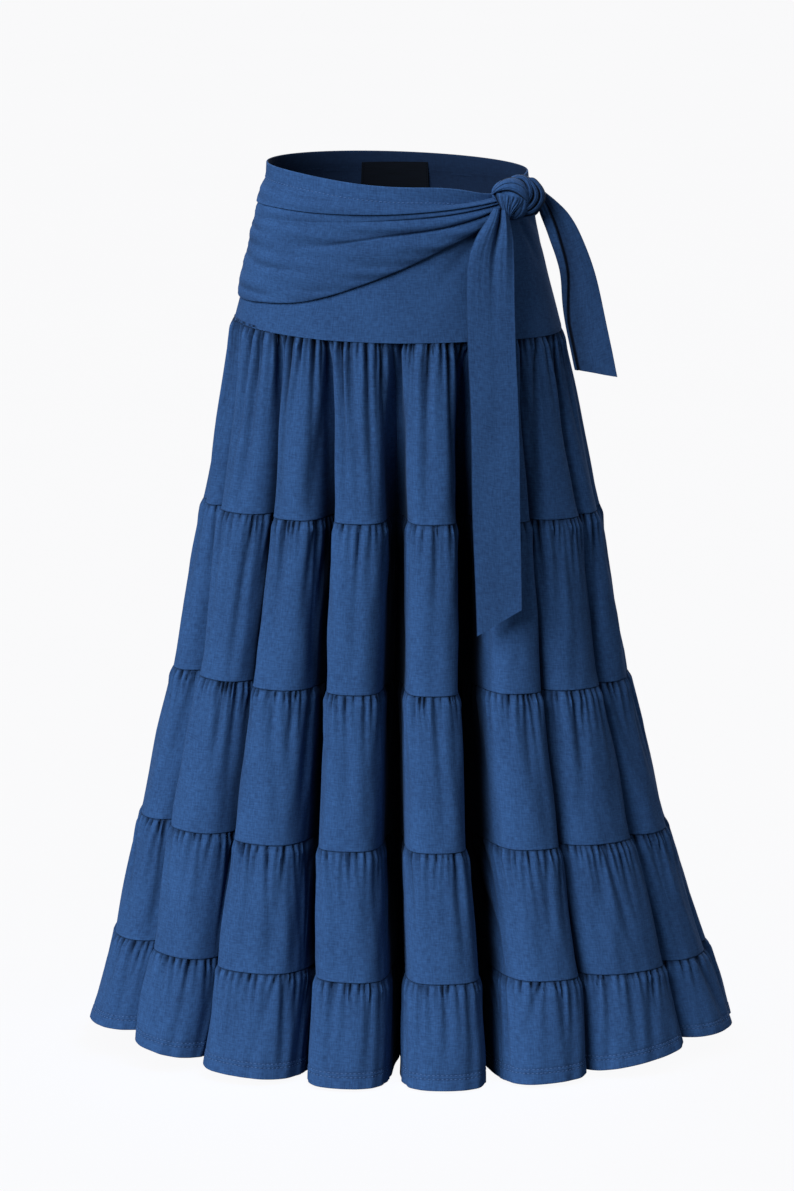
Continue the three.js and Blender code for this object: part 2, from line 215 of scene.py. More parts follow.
def camera_axes() -> tuple[Array, Array, Array]:
    """Give the directions to the right, up and towards the camera, as it sees them."""
    level, steep = math.cos(math.radians(CAMERA_PITCH)), math.sin(math.radians(CAMERA_PITCH))
    return np.array([1.0, 0, 0]), np.array([0, steep, level]), np.array([0, -level, steep])


@dataclass(frozen=True)
class Creases:
    """A row of creases that run down from a seam and die out, uneven in every way."""

    pitch: float  # between two creases at the seam
    depth: tuple[float, float]
    reach: tuple[float, float]  # how far down they go
    width: float  # half of a crease's width at the seam
    widening: float  # and what it gains for each millimetre down
    lean: float  # how far they stray sideways for each millimetre down
    seed: int

    def relief(self, along: Array, down: Array) -> tuple[Array, Array]:
        """Press the creases into cloth.

        Args:
            along: the place of each column along the seam.
            down: the distance of each row below the seam.

        Returns:
            The height of the cloth, at and below zero, and the painted shade in the creases,
            darkest in their pinched tops, both for rows by columns.
        """
        rng = np.random.default_rng(self.seed)
        count = int((along[-1] - along[0]) / self.pitch) + 3
        at = along[0] + np.cumsum(self.pitch * rng.uniform(0.6, 1.45, count)) - self.pitch
        depth = rng.uniform(*self.depth, count)
        reach = np.exp(rng.uniform(*np.log(self.reach), count))
        width = self.width * rng.uniform(0.7, 1.35, count)
        lean = self.lean * rng.normal(0, 1, count)
        below = np.maximum(down, 0)[:, None]
        height, shade = (np.zeros((len(down), len(along))) for _ in range(2))
        for k in range(count):
            off = along[None, :] - at[k] - lean[k] * below
            wide = width[k] + self.widening * below
            fade = np.exp(-((below / reach[k]) ** 1.2)) * (0.75 + 0.25 * eased(below / 6))
            trough = depth[k] * fade * np.maximum(1 - np.abs(off) / wide, 0) ** 1.25
            height -= trough
            # painted shade: darkest in each crease's pinched top, softer along its trough
            pinch = np.exp(-((below / (6.0 + 0.3 * reach[k])) ** 1.5)) * depth[k] / self.depth[1]
            narrow = 1.9 * self.width * (1 - 0.6 * eased(below / 14)) + 0.03 * below
            shade = np.maximum(shade, pinch * np.maximum(1.2 - np.abs(off) / narrow, 0))
            shade = np.maximum(shade, 0.62 * trough / self.depth[1])
        return height, np.minimum(shade, 1)


class HipForm:
    """The smooth form of the hips, from the waist to the yoke seam."""

    WAIST = np.array([135.0, 97.0, 97.0])  # half-width, front, back
    SEAM = np.array([171.0, 112.0, 121.0])
    HEIGHT = 168.0
    CURVE = 1.3

    def size(self, z: Array) -> Array:
        """Give the half-width, the front and the back at each height."""
        share = np.clip(-z / self.HEIGHT, 0, 1) ** self.CURVE
        return self.WAIST + (self.SEAM - self.WAIST) * share[..., None]

    def point(self, degrees: Array, z: Array, out: Array | float = 0.0) -> Array:
        """Place points on the form.

        Args:
            degrees: the angle round from the centre front, towards +X.
            z: the height.
            out: how far the point stands off the form.

        Returns:
            The points, with X, Y and Z on a new last axis.
        """
        degrees, z, out = np.broadcast_arrays(degrees, z, out)
        size = self.size(z)
        angle = np.radians(degrees)
        depth = np.where(np.cos(angle) > 0, size[..., 1], size[..., 2])
        x = (size[..., 0] + out) * np.sin(angle)
        y = -(depth + out) * np.cos(angle)
        return np.stack([x, y, z], axis=-1)

    def edge_lift(self, degrees: Array) -> Array:
        """Say how far the waist's edge stands above the level at each angle."""
        front = np.maximum(np.cos(np.radians(degrees)), 0)
        pull = ((degrees - 48) / 20) ** 2
        return -8 * front**4 - 4.5 * np.sin(np.radians(degrees)) - 14 * np.exp(-pull)

    def pushed_out(self, points: Array, rest: float) -> Array:
        """Move points that are inside the form out to it.

        Args:
            points: the points, with X, Y and Z on the last axis.
            rest: how far off the form they then stand.

        Returns:
            The points.
        """
        size = self.size(points[..., 2]) + rest
        depth = np.where(points[..., 1] < 0, size[..., 1], size[..., 2])
        reach = np.hypot(points[..., 0] / size[..., 0], points[..., 1] / depth)
        grow = np.where(reach < 1, 1 / np.maximum(reach, 1e-6), 1)
        moved = points.copy()
        moved[..., :2] *= grow[..., None]
        return moved


class FoldForm:
    """The folded form of the skirt below the yoke, from level 0 (yoke seam) to 5 (hem)."""

    # height, half-width, front, back, shift to +X, rise of the front, fold depth, open share,
    # and how much of a valley's seam lift it takes
    RINGS = np.array(
        [
            (-168, 171.0, 112, 121, 0.0, 1.5, 0, 0.8, 0.55),
            (-357, 208.7, 133, 142, 4.6, 5.0, 27, 1.05, 0.4),
            (-534, 241.7, 153, 162, 4.0, 6.0, 36, 1.0, 0.6),
            (-694, 282.3, 178, 186, 7.0, 6.0, 45, 0.9, 0.75),
            (-826, 319.4, 201, 208, 14.6, 4.0, 50, 0.6, 1.0),
            (-928, 348.6, 227, 230, 16.0, 0.0, 55, 0.3, 0.0),
        ]
    )
    # angle at the top and at the hem, depth, gap at the foot, lift of the hem and of the
    # seams, and how far the cloth draws in at the hem
    VALLEYS = np.array(
        [
            (-88, -85, 0.35, 0.03, 22, 14, 0),
            (-74, -61.5, 0.8, 0.04, 25, 15, 0),
            (-45, -43.5, 0.9, 0.07, 9, 8, 0),
            (-25.3, -20.8, 1.1, 0.1, 2, 3, 0),
            (-0.6, -3.4, 1.25, 0.14, 0, 0, 0),
            (26, 15.5, 1.3, 0.19, 0, 0, 0),
            (47.5, 34, 0.55, 0.03, 4, -2, 0),
            (71, 60, 0.6, 0.03, 19, -5, 0),
            (87, 84, 0.5, 0.03, 19, -5, 0),
            (104, 101, 0.85, 0.05, 8, -2, 18),
            (122, 120, 1.0, 0.08, 2, 0, 6),
            (141, 138, 1.15, 0.1, 0, 0, 0),
            (158, 158, 0.95, 0.05, 0, 0, 0),
            (176, 176, 1.2, 0.12, 0, 0, 0),
            (195, 194, 1.0, 0.06, 0, 0, 0),
            (213, 214, 1.15, 0.1, 0, 1, 0),
            (231, 232, 0.9, 0.05, 3, 4, 8),
            (251, 252, 0.8, 0.04, 12, 10, 22),
        ]
    )
    FLATNESS = 2.3
    STEEPNESS = 0.5
    HEM_LEVEL = 5
    SPREADING = 0.65  # below 1 the valleys reach their places at the hem early
    FUNNEL = 0.8  # how much deeper a valley's middle is, as a share of its depth
    OVERHANG = 0.11  # how far a fold's sides swell over its valleys, as a share of its depth

    def ring(self, level: Array) -> Array:
        """Mix the rings at a level, and go on in a straight line above the first."""
        mixed = read_rows(self.RINGS, level)
        mixed[..., 6] *= np.clip(level, 0.001, 1) ** -0.5
        above = np.minimum(level, 0)[..., None] * (self.RINGS[1] - self.RINGS[0])
        mixed[..., :4] += above[..., :4]
        return mixed

    def valleys(self, turn: Array) -> tuple[Array, Array, Array]:
        """Look up the valleys on both sides of each place round the skirt.

        Args:
            turn: the place round the skirt, which counts the valleys.

        Returns:
            Both valleys, their mixture, and how far on from the first the place is.
        """
        fold = np.floor(turn).astype(int)
        share = turn - fold
        count = len(self.VALLEYS)
        before, after = self.VALLEYS[fold % count], self.VALLEYS[(fold + 1) % count]
        mixed = before + (after - before) * share[..., None]
        return np.stack([before, after], axis=-2), mixed, share

    def section(self, pair: Array, share: Array, ring: Array) -> tuple[Array, Array]:
        """Shape a fold across.

        Args:
            pair: the valleys on both sides.
            share: how far on from the first each place is.
            ring: the ring at each place.

        Returns:
            The place within the fold, and the depth as a share of the valley's depth.
        """
        gap = pair[..., 3] * ring[..., 7:8]
        in_fold = (share - gap[..., 0]) / (1 - gap.sum(-1))
        from_crest = np.clip(np.abs(2 * in_fold - 1), 0, 1)
        profile = 1 - (1 - from_crest**self.FLATNESS) ** self.STEEPNESS
        edges = np.stack([gap[..., 0] - share, share - 1 + gap[..., 1]], axis=-1)
        inside = np.clip(edges / np.maximum(gap, 1e-6), 0, 1).max(-1)
        return in_fold, profile + self.FUNNEL * np.sqrt(inside)

    def shade(self, turn: Array, level: Array) -> Array:
        """Give the painted shade deep in each valley, from 0 to 1, fainter near the top."""
        turn, level = np.broadcast_arrays(turn, level)
        ring = self.ring(level)
        pair, mixed, share = self.valleys(turn)
        profile = self.section(pair, share, ring)[1]
        deep = eased(ring[..., 6] * mixed[..., 2] / 26 - 0.1) * (0.2 + 0.8 * eased(level - 0.3))
        return eased((profile - 0.5) / 0.7) * deep

    def point(self, turn: Array, level: Array, out: Array | float = 0.0) -> Array:
        """Place points on the folded cloth.

        Args:
            turn: the place round the skirt, which counts the valleys.
            level: the place down the skirt, which counts the seams.
            out: how far the point stands off the form.

        Returns:
            The points, with X, Y and Z on a new last axis.
        """
        turn, level, out = np.broadcast_arrays(turn, level, out)
        ring = self.ring(level)
        pair, mixed, share = self.valleys(turn)
        down = level / self.HEM_LEVEL
        fold = np.floor(turn).astype(int)
        count = len(self.VALLEYS)
        spread = np.clip(down, 0, None)[..., None] ** self.SPREADING
        angles = pair[..., 0] + (pair[..., 1] - pair[..., 0]) * spread
        angles = angles + 360 * np.stack([fold // count, (fold + 1) // count], axis=-1)
        in_fold, profile = self.section(pair, share, ring)
        deep = ring[..., 6] * mixed[..., 2]
        angle = np.radians(angles[..., 0] + (angles[..., 1] - angles[..., 0]) * share)
        swell = deep * self.OVERHANG * np.sin(2 * math.pi * np.clip(in_fold, 0, 1))
        angle = angle - swell / ring[..., 1]
        out = out - deep * profile - mixed[..., 6] * down
        depth = np.where(np.cos(angle) > 0, ring[..., 2], ring[..., 3])
        x = ring[..., 4] + (ring[..., 1] + out) * np.sin(angle)
        y = -(depth + out) * np.cos(angle)
        rise = ring[..., 5] * np.maximum(np.cos(angle), 0) ** 2
        lift = mixed[..., 4] * np.maximum(level - self.HEM_LEVEL + 1, 0)
        lift = lift + mixed[..., 5] * ring[..., 8]
        return np.stack([x, y, ring[..., 0] + rise + lift], axis=-1)

    def yoke_seam(self, degrees: Array) -> Array:
        """Say how high the yoke's seam lies at each angle."""
        lift = np.interp(degrees, self.VALLEYS[:, 0], self.VALLEYS[:, 5], period=360)
        first = self.RINGS[0]
        rise = first[5] * np.maximum(np.cos(np.radians(degrees)), 0) ** 2
        return first[0] + rise + lift * first[8]


# Small tools for meshes


def add_object(name: str, data: bpy.types.ID) -> bpy.types.Object:
    """Add an object to the scene."""
    thing = bpy.data.objects.new(name, data)
    bpy.context.scene.collection.objects.link(thing)
    return thing


def add_mesh(
    name: str, points: Array, faces: list[Array], uv: Array, shade: Array | float = 0.0
) -> bpy.types.Object:
    """Make a mesh object whose faces point outwards.

    Args:
        name: the object's name.
        points: one row for each point, in millimetres.
        faces: tables of triangles and of quads, one face in a row.
        uv: the place of each point on the flat cloth, in metres.
        shade: the painted shade of each point, from 0 to 1.

    Returns:
        The object.
    """
    corners = np.concatenate([table.ravel() for table in faces])
    sizes = np.concatenate([np.full(len(table), table.shape[1]) for table in faces])
    starts = np.concatenate([[0], np.cumsum(sizes)[:-1]])
    mesh = bpy.data.meshes.new(name)
    mesh.vertices.add(len(points))
    mesh.vertices.foreach_set("co", (points * MM).astype(np.float32).ravel())
    mesh.loops.add(len(corners))
    mesh.loops.foreach_set("vertex_index", corners.astype(np.int32))
    mesh.polygons.add(len(sizes))
    mesh.polygons.foreach_set("loop_start", starts.astype(np.int32))
    layer = mesh.uv_layers.new(name=CLOTH_UV)
    layer.uv.foreach_set("vector", uv[corners].astype(np.float32).ravel())
    # each point's painted shade, which the cloth's material reads
    depth = mesh.attributes.new(PAINTED_SHADE, "FLOAT", "POINT")
    depth.data.foreach_set("value", np.broadcast_to(shade, len(points)).astype(np.float32))
    mesh.update(calc_edges=True)
    mesh.validate()
    mesh.polygons.foreach_set("use_smooth", np.ones(len(sizes), bool))
    mesh.set_sharp_from_angle(angle=math.radians(65))
    return add_object(name, mesh)


def facing_out(points: Array, faces: list[Array]) -> list[Array]:
    """Turn all faces of a closed shape round if they point inwards."""
    volume = 0.0
    for table in faces:
        for k in range(1, table.shape[1] - 1):
            a, b, c = (points[table[:, i]] for i in (0, k, k + 1))
            volume += float(np.einsum("ij,ij->", a, np.cross(b, c)))
    return faces if volume > 0 else [table[:, ::-1] for table in faces]


def shell(
    name: str, outer: Array, thickness: float, uv: Array, shade: Array | float = 0.0
) -> bpy.types.Object:
    """Make a closed thin wall of cloth under its outer face.

    Args:
        name: the object's name.
        outer: the outer face, rows that run down by columns that run to the right.
        thickness: the cloth's thickness.
        uv: the place of each point of the outer face on the flat cloth, in metres.
        shade: the painted shade of each point of the outer face, from 0 to 1.

    Returns:
        The object.
    """
    inner = outer - grid_normals(outer) * thickness
    rows, columns = outer.shape[:2]
    front = np.arange(rows * columns).reshape(rows, columns)
    back = front + rows * columns

    def quads(a: Array, b: Array, c: Array, d: Array) -> Array:
        """Join four tables of corners to one table of quads."""
        return np.stack([a.ravel(), b.ravel(), c.ravel(), d.ravel()], axis=1)

    table = [
        quads(front[:-1, :-1], front[1:, :-1], front[1:, 1:], front[:-1, 1:]),
        quads(back[:-1, :-1], back[:-1, 1:], back[1:, 1:], back[1:, :-1]),
        quads(front[:-1, 0], back[:-1, 0], back[1:, 0], front[1:, 0]),
        quads(front[1:, -1], back[1:, -1], back[:-1, -1], front[:-1, -1]),
        quads(front[0, :-1], front[0, 1:], back[0, 1:], back[0, :-1]),
        quads(front[-1, 1:], front[-1, :-1], back[-1, :-1], back[-1, 1:]),
    ]
    points = np.concatenate([outer.reshape(-1, 3), inner.reshape(-1, 3)])
    both = np.concatenate([uv.reshape(-1, 2), uv.reshape(-1, 2)])
    # the painted shade, the same on both faces
    depth = np.tile(np.clip(np.broadcast_to(shade, outer.shape[:2]), 0, 1).ravel(), 2)
    return add_mesh(name, points, [np.concatenate(table)], both, depth)


def tube(name: str, sections: Array, uv: Array) -> bpy.types.Object:
    """Make a closed body from a row of closed sections, with a cap at each end.

    Args:
        name: the object's name.
        sections: stations by points round each section.
        uv: the place of each point on the flat cloth, in metres.

    Returns:
        The object.
    """
    stations, around = sections.shape[:2]
    at = np.arange(stations * around).reshape(stations, around)
    a, b = at[:-1], at[1:]
    ring = [a, b, np.roll(b, -1, axis=1), np.roll(a, -1, axis=1)]
    quads = np.stack([corner.ravel() for corner in ring], axis=1)
    points = sections.reshape(-1, 3)
    ends = np.array([sections[0].mean(0), sections[-1].mean(0)])
    first, last = len(points), len(points) + 1
    start = np.stack([np.full(around, first), at[0], np.roll(at[0], -1)], axis=1)
    stop = np.stack([np.full(around, last), np.roll(at[-1], -1), at[-1]], axis=1)
    points = np.concatenate([points, ends])
    flat = np.concatenate([uv.reshape(-1, 2), uv[0].mean(0)[None], uv[-1].mean(0)[None]])
    faces = facing_out(points, [quads, np.concatenate([start, stop])])
    return add_mesh(name, points, faces, flat)


def fit(
    piece: bpy.types.Object, slot: Slot, finish: bpy.types.Material, *nodes: str
) -> bpy.types.Object:
    """Give a piece its finish and its place on the body.

    Args:
        piece: the piece.
        slot: the record's slot for it; not used.
        finish: its material.
        nodes: the solids that it stands for.

    Returns:
        The piece.
    """
    if not piece.data.materials:
        piece.data.materials.append(finish)
    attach(piece, BODY)
    if nodes:
        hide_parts(*nodes)
    return piece


def paint_inside_shade(piece: bpy.types.Object, facing: bpy.types.Material) -> None:
    """Give the faces of a piece that look at the wearer a darker copy of the cloth, as painted
    shade.
    """
    mesh = piece.data
    centres, normals = (np.zeros(len(mesh.polygons) * 3, np.float32) for _ in range(2))
    mesh.polygons.foreach_get("center", centres)
    mesh.polygons.foreach_get("normal", normals)
    inward = (centres.reshape(-1, 3) * normals.reshape(-1, 3))[:, :2].sum(1) < 0
    mesh.materials.append(facing)
    mesh.polygons.foreach_set("material_index", inward.astype(np.int32))


# Finishes


def linear(colour: str) -> tuple[float, float, float, float]:
    """Turn an sRGB hex colour to the linear one that a shader takes."""
    shares = [int(colour[k : k + 2], 16) / 255 for k in (1, 3, 5)]
    turned = [s / 12.92 if s <= 0.04045 else ((s + 0.055) / 1.055) ** 2.4 for s in shares]
    return (*turned, 1.0)


def add_node(
    tree: bpy.types.NodeTree, kind: str, inputs: dict[Any, Any] | None = None, **settings: Any
) -> bpy.types.Node:
    """Add a node to a tree.

    Args:
        tree: the node tree.
        kind: the node's type, such as ShaderNodeBump.
        inputs: for each input, by name or by number, its value, the socket that feeds it, or
            the node whose first output does.
        settings: the node's own settings.

    Returns:
        The node.
    """
    node = tree.nodes.new(kind)
    for key, value in settings.items():
        setattr(node, key, value)
    for key, value in (inputs or {}).items():
        source = value.outputs[0] if isinstance(value, bpy.types.Node) else value
        if isinstance(source, bpy.types.NodeSocket):
            tree.links.new(source, node.inputs[key])
        else:
            node.inputs[key].default_value = source
    return node


@dataclass(frozen=True)
class Finish:
    """A material, whose own nodes feed one shader."""

    name: str

    def build(self) -> bpy.types.Material:
        """Make the material.

        Returns:
            The material.
        """
        material = bpy.data.materials.new(self.name)
        material.use_nodes = True
        tree = material.node_tree
        tree.nodes.clear()
        shader = add_node(tree, "ShaderNodeBsdfPrincipled", self.surface(tree))
        add_node(tree, "ShaderNodeOutputMaterial", {"Surface": shader})
        return material

    def surface(self, tree: bpy.types.NodeTree) -> dict[str, Any]:
        """Add the surface's own nodes, and give what the shader's inputs take."""
        raise NotImplementedError


@dataclass(frozen=True)
class PlainWeave(Finish):
    """Linen and cotton in plain weave: matt, with a fine grain and thicker slubs both ways."""

    name: str = "linen_cotton_plain_weave"
    colour: str = "#2e5182"
    deep_colour: str = "#203a62"
    roughness: float = 0.95
    sheen: float = 0.06
    thread: float = 0.9  # mm between threads; the real 0.5 mm is too fine to show
    slub: float = 8.0  # mm, the length of a thicker stretch of thread
    painted_shade_colour: str = "#01040d"  # painted shade, almost black, for creases and valleys where no light gets in
    seed: float = 3.0

    def surface(self, tree: bpy.types.NodeTree) -> dict[str, Any]:
        """Add the weave's nodes, which read the cloth's own flat coordinates.

        Args:
            tree: the material's tree.

        Returns:
            What each input of the shader takes.
        """
        flat = add_node(tree, "ShaderNodeUVMap", uv_map=CLOTH_UV)
        across, along = 1000 / (1.6 * self.thread), 1000 / self.slub
        # Slubs: noise drawn out along the warp, and again along the weft
        streaks = []
        for turn, scale in enumerate([(across, along, 1), (along, across, 1)]):
            place = (self.seed * (turn + 1), self.seed * 2, 0)
            inputs = {"Vector": flat, "Location": place, "Scale": scale}
            drawn = add_node(tree, "ShaderNodeMapping", inputs)
            inputs = {"Vector": drawn, "Scale": 1.0, "Detail": 3.0, "Roughness": 0.6}
            streaks.append(add_node(tree, "ShaderNodeTexNoise", inputs, noise_dimensions="2D"))
        grain = add_node(tree, "ShaderNodeMath", dict(enumerate(streaks)), operation="ADD")
        # A broad, faint unevenness of the dye
        inputs = {"Vector": flat, "Scale": 22.0, "Detail": 3.0, "Roughness": 0.55}
        cloud = add_node(tree, "ShaderNodeTexNoise", inputs, noise_dimensions="2D")
        inputs = {0: cloud, 1: 0.35, 2: grain}
        tone = add_node(tree, "ShaderNodeMath", inputs, operation="MULTIPLY_ADD")
        inputs = {"Value": tone, "From Min": 0.8, "From Max": 1.55}
        ramp = add_node(tree, "ShaderNodeMapRange", inputs)
        inputs = {"Factor": ramp, 6: linear(self.deep_colour), 7: linear(self.colour)}
        dyed = add_node(tree, "ShaderNodeMix", inputs, data_type="RGBA")
        # Painted shade: almost black in the creases, valleys and seams, and a little all over some
        # pieces, as the piece's own attribute says
        crease = add_node(tree, "ShaderNodeAttribute", attribute_name=PAINTED_SHADE)
        inputs = {0: crease.outputs["Fac"], 1: 0.97}
        dark = add_node(tree, "ShaderNodeMath", inputs, operation="MULTIPLY")
        inputs = {"Factor": dark, 6: dyed.outputs[2], 7: linear(self.painted_shade_colour)}
        colour = add_node(tree, "ShaderNodeMix", inputs, data_type="RGBA")
        # The threads themselves: a checker of soft bumps, with the slubs on top
        inputs = {"Vector": flat, "Scale": (2000 * math.pi / self.thread,) * 3}
        threads = add_node(tree, "ShaderNodeMapping", inputs)
        parts = add_node(tree, "ShaderNodeSeparateXYZ", {0: threads}).outputs
        warp = add_node(tree, "ShaderNodeMath", {0: parts[0]}, operation="SINE")
        weft = add_node(tree, "ShaderNodeMath", {0: parts[1]}, operation="SINE")
        woven = add_node(tree, "ShaderNodeMath", {0: warp, 1: weft}, operation="MULTIPLY")
        inputs = {0: woven, 1: 0.12, 2: grain}
        relief = add_node(tree, "ShaderNodeMath", inputs, operation="MULTIPLY_ADD")
        inputs = {"Height": relief, "Strength": 0.25, "Distance": 0.0004}
        return {
            "Base Color": colour.outputs[2],
            "Roughness": self.roughness,
            "Specular IOR Level": 0.1,
            "Sheen Weight": self.sheen,
            "Sheen Roughness": 0.5,
            "Sheen Tint": (0.3, 0.5, 0.9, 1.0),
            "Normal": add_node(tree, "ShaderNodeBump", inputs),
        }


@dataclass(frozen=True)
class SatinRibbon(Finish):
    """Woven polyester satin: close threads across, a low soft gloss."""

    name: str = "woven_satin_ribbon"
    colour: str = "#080e18"
    deep_colour: str = "#04070d"
    roughness: float = 0.9
    thread: float = 0.9  # mm between ribs; the real 0.2 mm is too fine to show

    def surface(self, tree: bpy.types.NodeTree) -> dict[str, Any]:
        """Add the ribbon's nodes, which read its own flat coordinates.

        Args:
            tree: the material's tree.

        Returns:
            What each input of the shader takes.
        """
        flat = add_node(tree, "ShaderNodeUVMap", uv_map=CLOTH_UV)
        inputs = {"Vector": flat, "Scale": (60, 1000 / self.thread, 1)}
        ribs = add_node(tree, "ShaderNodeMapping", inputs)
        inputs = {"Vector": ribs, "Scale": 1.0, "Detail": 2.0}
        grain = add_node(tree, "ShaderNodeTexNoise", inputs, noise_dimensions="2D")
        inputs = {"Factor": grain, 6: linear(self.deep_colour), 7: linear(self.colour)}
        colour = add_node(tree, "ShaderNodeMix", inputs, data_type="RGBA")
        inputs = {"Height": grain, "Strength": 0.2, "Distance": 0.0003}
        return {
            "Base Color": colour.outputs[2],
            "Roughness": self.roughness,
            "Specular IOR Level": 0.08,
            "Normal": add_node(tree, "ShaderNodeBump", inputs),
        }


@dataclass(frozen=True)
class SewingThread(Finish):
    """Spun polyester thread, twisted, a little lighter than the cloth."""

    name: str = "spun_sewing_thread"
    colour: str = "#4469a0"
    deep_colour: str = "#2a4a7c"
    roughness: float = 0.7
    twist: float = 0.5  # mm between two turns of the ply

    def surface(self, tree: bpy.types.NodeTree) -> dict[str, Any]:
        """Add the thread's nodes, which read object coordinates.

        Args:
            tree: the material's tree.

        Returns:
            What each input of the shader takes.
        """
        place = add_node(tree, "ShaderNodeTexCoord").outputs["Object"]
        inputs = {"Vector": place, "Scale": 1000 / self.twist, "Detail": 1.0}
        fibre = add_node(tree, "ShaderNodeTexNoise", inputs)
        inputs = {"Factor": fibre, 6: linear(self.deep_colour), 7: linear(self.colour)}
        colour = add_node(tree, "ShaderNodeMix", inputs, data_type="RGBA")
        return {"Base Color": colour.outputs[2], "Roughness": self.roughness}


@dataclass(frozen=True)
class PaintedFloor(Finish):
    """A matt painted studio floor, almost white."""

    name: str = "matt_studio_floor_paint"
    colour: str = "#f6f6f7"
    mottle: float = 3.0  # patches to a metre, too faint to notice

    def surface(self, tree: bpy.types.NodeTree) -> dict[str, Any]:
        """Add the paint's nodes, which read object coordinates.

        Args:
            tree: the material's tree.

        Returns:
            What each input of the shader takes.
        """
        place = add_node(tree, "ShaderNodeTexCoord").outputs["Object"]
        patches = add_node(tree, "ShaderNodeTexNoise", {"Vector": place, "Scale": self.mottle})
        inputs = {"Value": patches, "To Min": 0.85, "To Max": 0.95}
        rough = add_node(tree, "ShaderNodeMapRange", inputs)
        colour = linear(self.colour)
        return {"Base Color": colour, "Specular IOR Level": 0.1, "Roughness": rough}


@dataclass
class Finishes:
    """The materials, each made once."""

    cloth: bpy.types.Material
    # a darker copy of the cloth: painted shade on the faces inside the waist
    facing: bpy.types.Material
    ribbon: bpy.types.Material
    thread: bpy.types.Material
    floor: bpy.types.Material

    @classmethod
    def make(cls) -> "Finishes":
        """Make every finish."""
        # a darker copy of the plain weave, painted shade for the faces inside the waist
        facing = PlainWeave("inside_painted_shade_weave", "#12243f", "#0e1d35", sheen=0.0)
        makers = (PlainWeave(), facing, SatinRibbon(), SewingThread(), PaintedFloor())
        return cls(*(maker.build() for maker in makers))


# Stitches


@dataclass
class RunningStitch:
    """A line of machine stitches, made by Geometry Nodes along a path."""

    spacing: float = 4.6
    length: float = 3.4
    width: float = 0.75
    unevenness: float = 0.14
    seed: int = 5

    def tree(self) -> bpy.types.NodeTree:
        """Build the node tree, or find it again.

        Returns:
            The tree, from a path to stitches along it.
        """
        name = "running_stitch"
        if name in bpy.data.node_groups:
            return bpy.data.node_groups[name]
        tree = bpy.data.node_groups.new(name, "GeometryNodeTree")
        sockets = {
            "Path": "Geometry",
            "Stitch spacing": "Float",
            "Stitch length": "Float",
            "Thread width": "Float",
            "Unevenness": "Float",
            "Seed": "Int",
            "Thread": "Material",
            "Stitches": "Geometry",
        }
        for label, kind in sockets.items():
            way = "OUTPUT" if label == "Stitches" else "INPUT"
            tree.interface.new_socket(name=label, in_out=way, socket_type="NodeSocket" + kind)
        given = add_node(tree, "NodeGroupInput").outputs
        inputs = {"Curve": given["Path"], "Length": given["Stitch spacing"]}
        places = add_node(tree, "GeometryNodeCurveToPoints", inputs, mode="LENGTH").outputs
        inputs = {"Segments": 5, "Rings": 3, "Radius": 0.5}
        bead = add_node(tree, "GeometryNodeMeshUVSphere", inputs)
        smooth = add_node(tree, "GeometryNodeSetShadeSmooth", {"Geometry": bead})
        inputs = {0: given["Thread width"], 1: given["Thread width"], 2: given["Stitch length"]}
        size = add_node(tree, "ShaderNodeCombineXYZ", inputs)
        stitch = add_node(tree, "GeometryNodeTransform", {"Geometry": smooth, "Scale": size})
        inputs = {0: 1.0, 1: given["Unevenness"]}
        least = add_node(tree, "ShaderNodeMath", inputs, operation="SUBTRACT")
        most = add_node(tree, "ShaderNodeMath", inputs, operation="ADD")
        inputs = {2: least, 3: most, "Seed": given["Seed"]}
        random = add_node(tree, "FunctionNodeRandomValue", inputs, data_type="FLOAT")
        stretch = add_node(tree, "ShaderNodeCombineXYZ", {0: 1.0, 1: 1.0, 2: random.outputs[1]})
        inputs = {
            "Points": places["Points"],
            "Instance": stitch,
            "Rotation": places["Rotation"],
            "Scale": stretch,
        }
        sewn = add_node(tree, "GeometryNodeInstanceOnPoints", inputs)
        real = add_node(tree, "GeometryNodeRealizeInstances", {"Geometry": sewn})
        inputs = {"Geometry": real, "Material": given["Thread"]}
        dressed = add_node(tree, "GeometryNodeSetMaterial", inputs)
        add_node(tree, "NodeGroupOutput", {"Stitches": dressed})
        return tree

    def sew(self, name: str, paths: list[Array], thread: bpy.types.Material) -> bpy.types.Object:
        """Sew stitches along paths.

        Args:
            name: the new piece's name.
            paths: rows of points, in millimetres.
            thread: the thread's material.

        Returns:
            The stitches, as one plain mesh.
        """
        curve = bpy.data.curves.new(name + "_path", "CURVE")
        curve.dimensions = "3D"
        for path in paths:
            spline = curve.splines.new("POLY")
            spline.points.add(len(path) - 1)
            flat = np.concatenate([path * MM, np.ones((len(path), 1))], axis=1)
            spline.points.foreach_set("co", flat.astype(np.float32).ravel())
        guide = add_object(name + "_path", curve)
        modifier = guide.modifiers.new("stitches", "NODES")
        modifier.node_group = self.tree()
        values = {
            "Stitch spacing": self.spacing * MM,
            "Stitch length": self.length * MM,
            "Thread width": self.width * MM,
            "Unevenness": self.unevenness,
            "Seed": self.seed,
            "Thread": thread,
        }
        for item in modifier.node_group.interface.items_tree:
            if item.in_out == "INPUT" and item.name in values:
                modifier[item.identifier] = values[item.name]
        made = guide.evaluated_get(bpy.context.evaluated_depsgraph_get())
        mesh = bpy.data.meshes.new_from_object(made)
        guide.modifiers.clear()
        bpy.data.objects.remove(guide)
        mesh.name = name
        return add_object(name, mesh)


# The skirt's own pieces


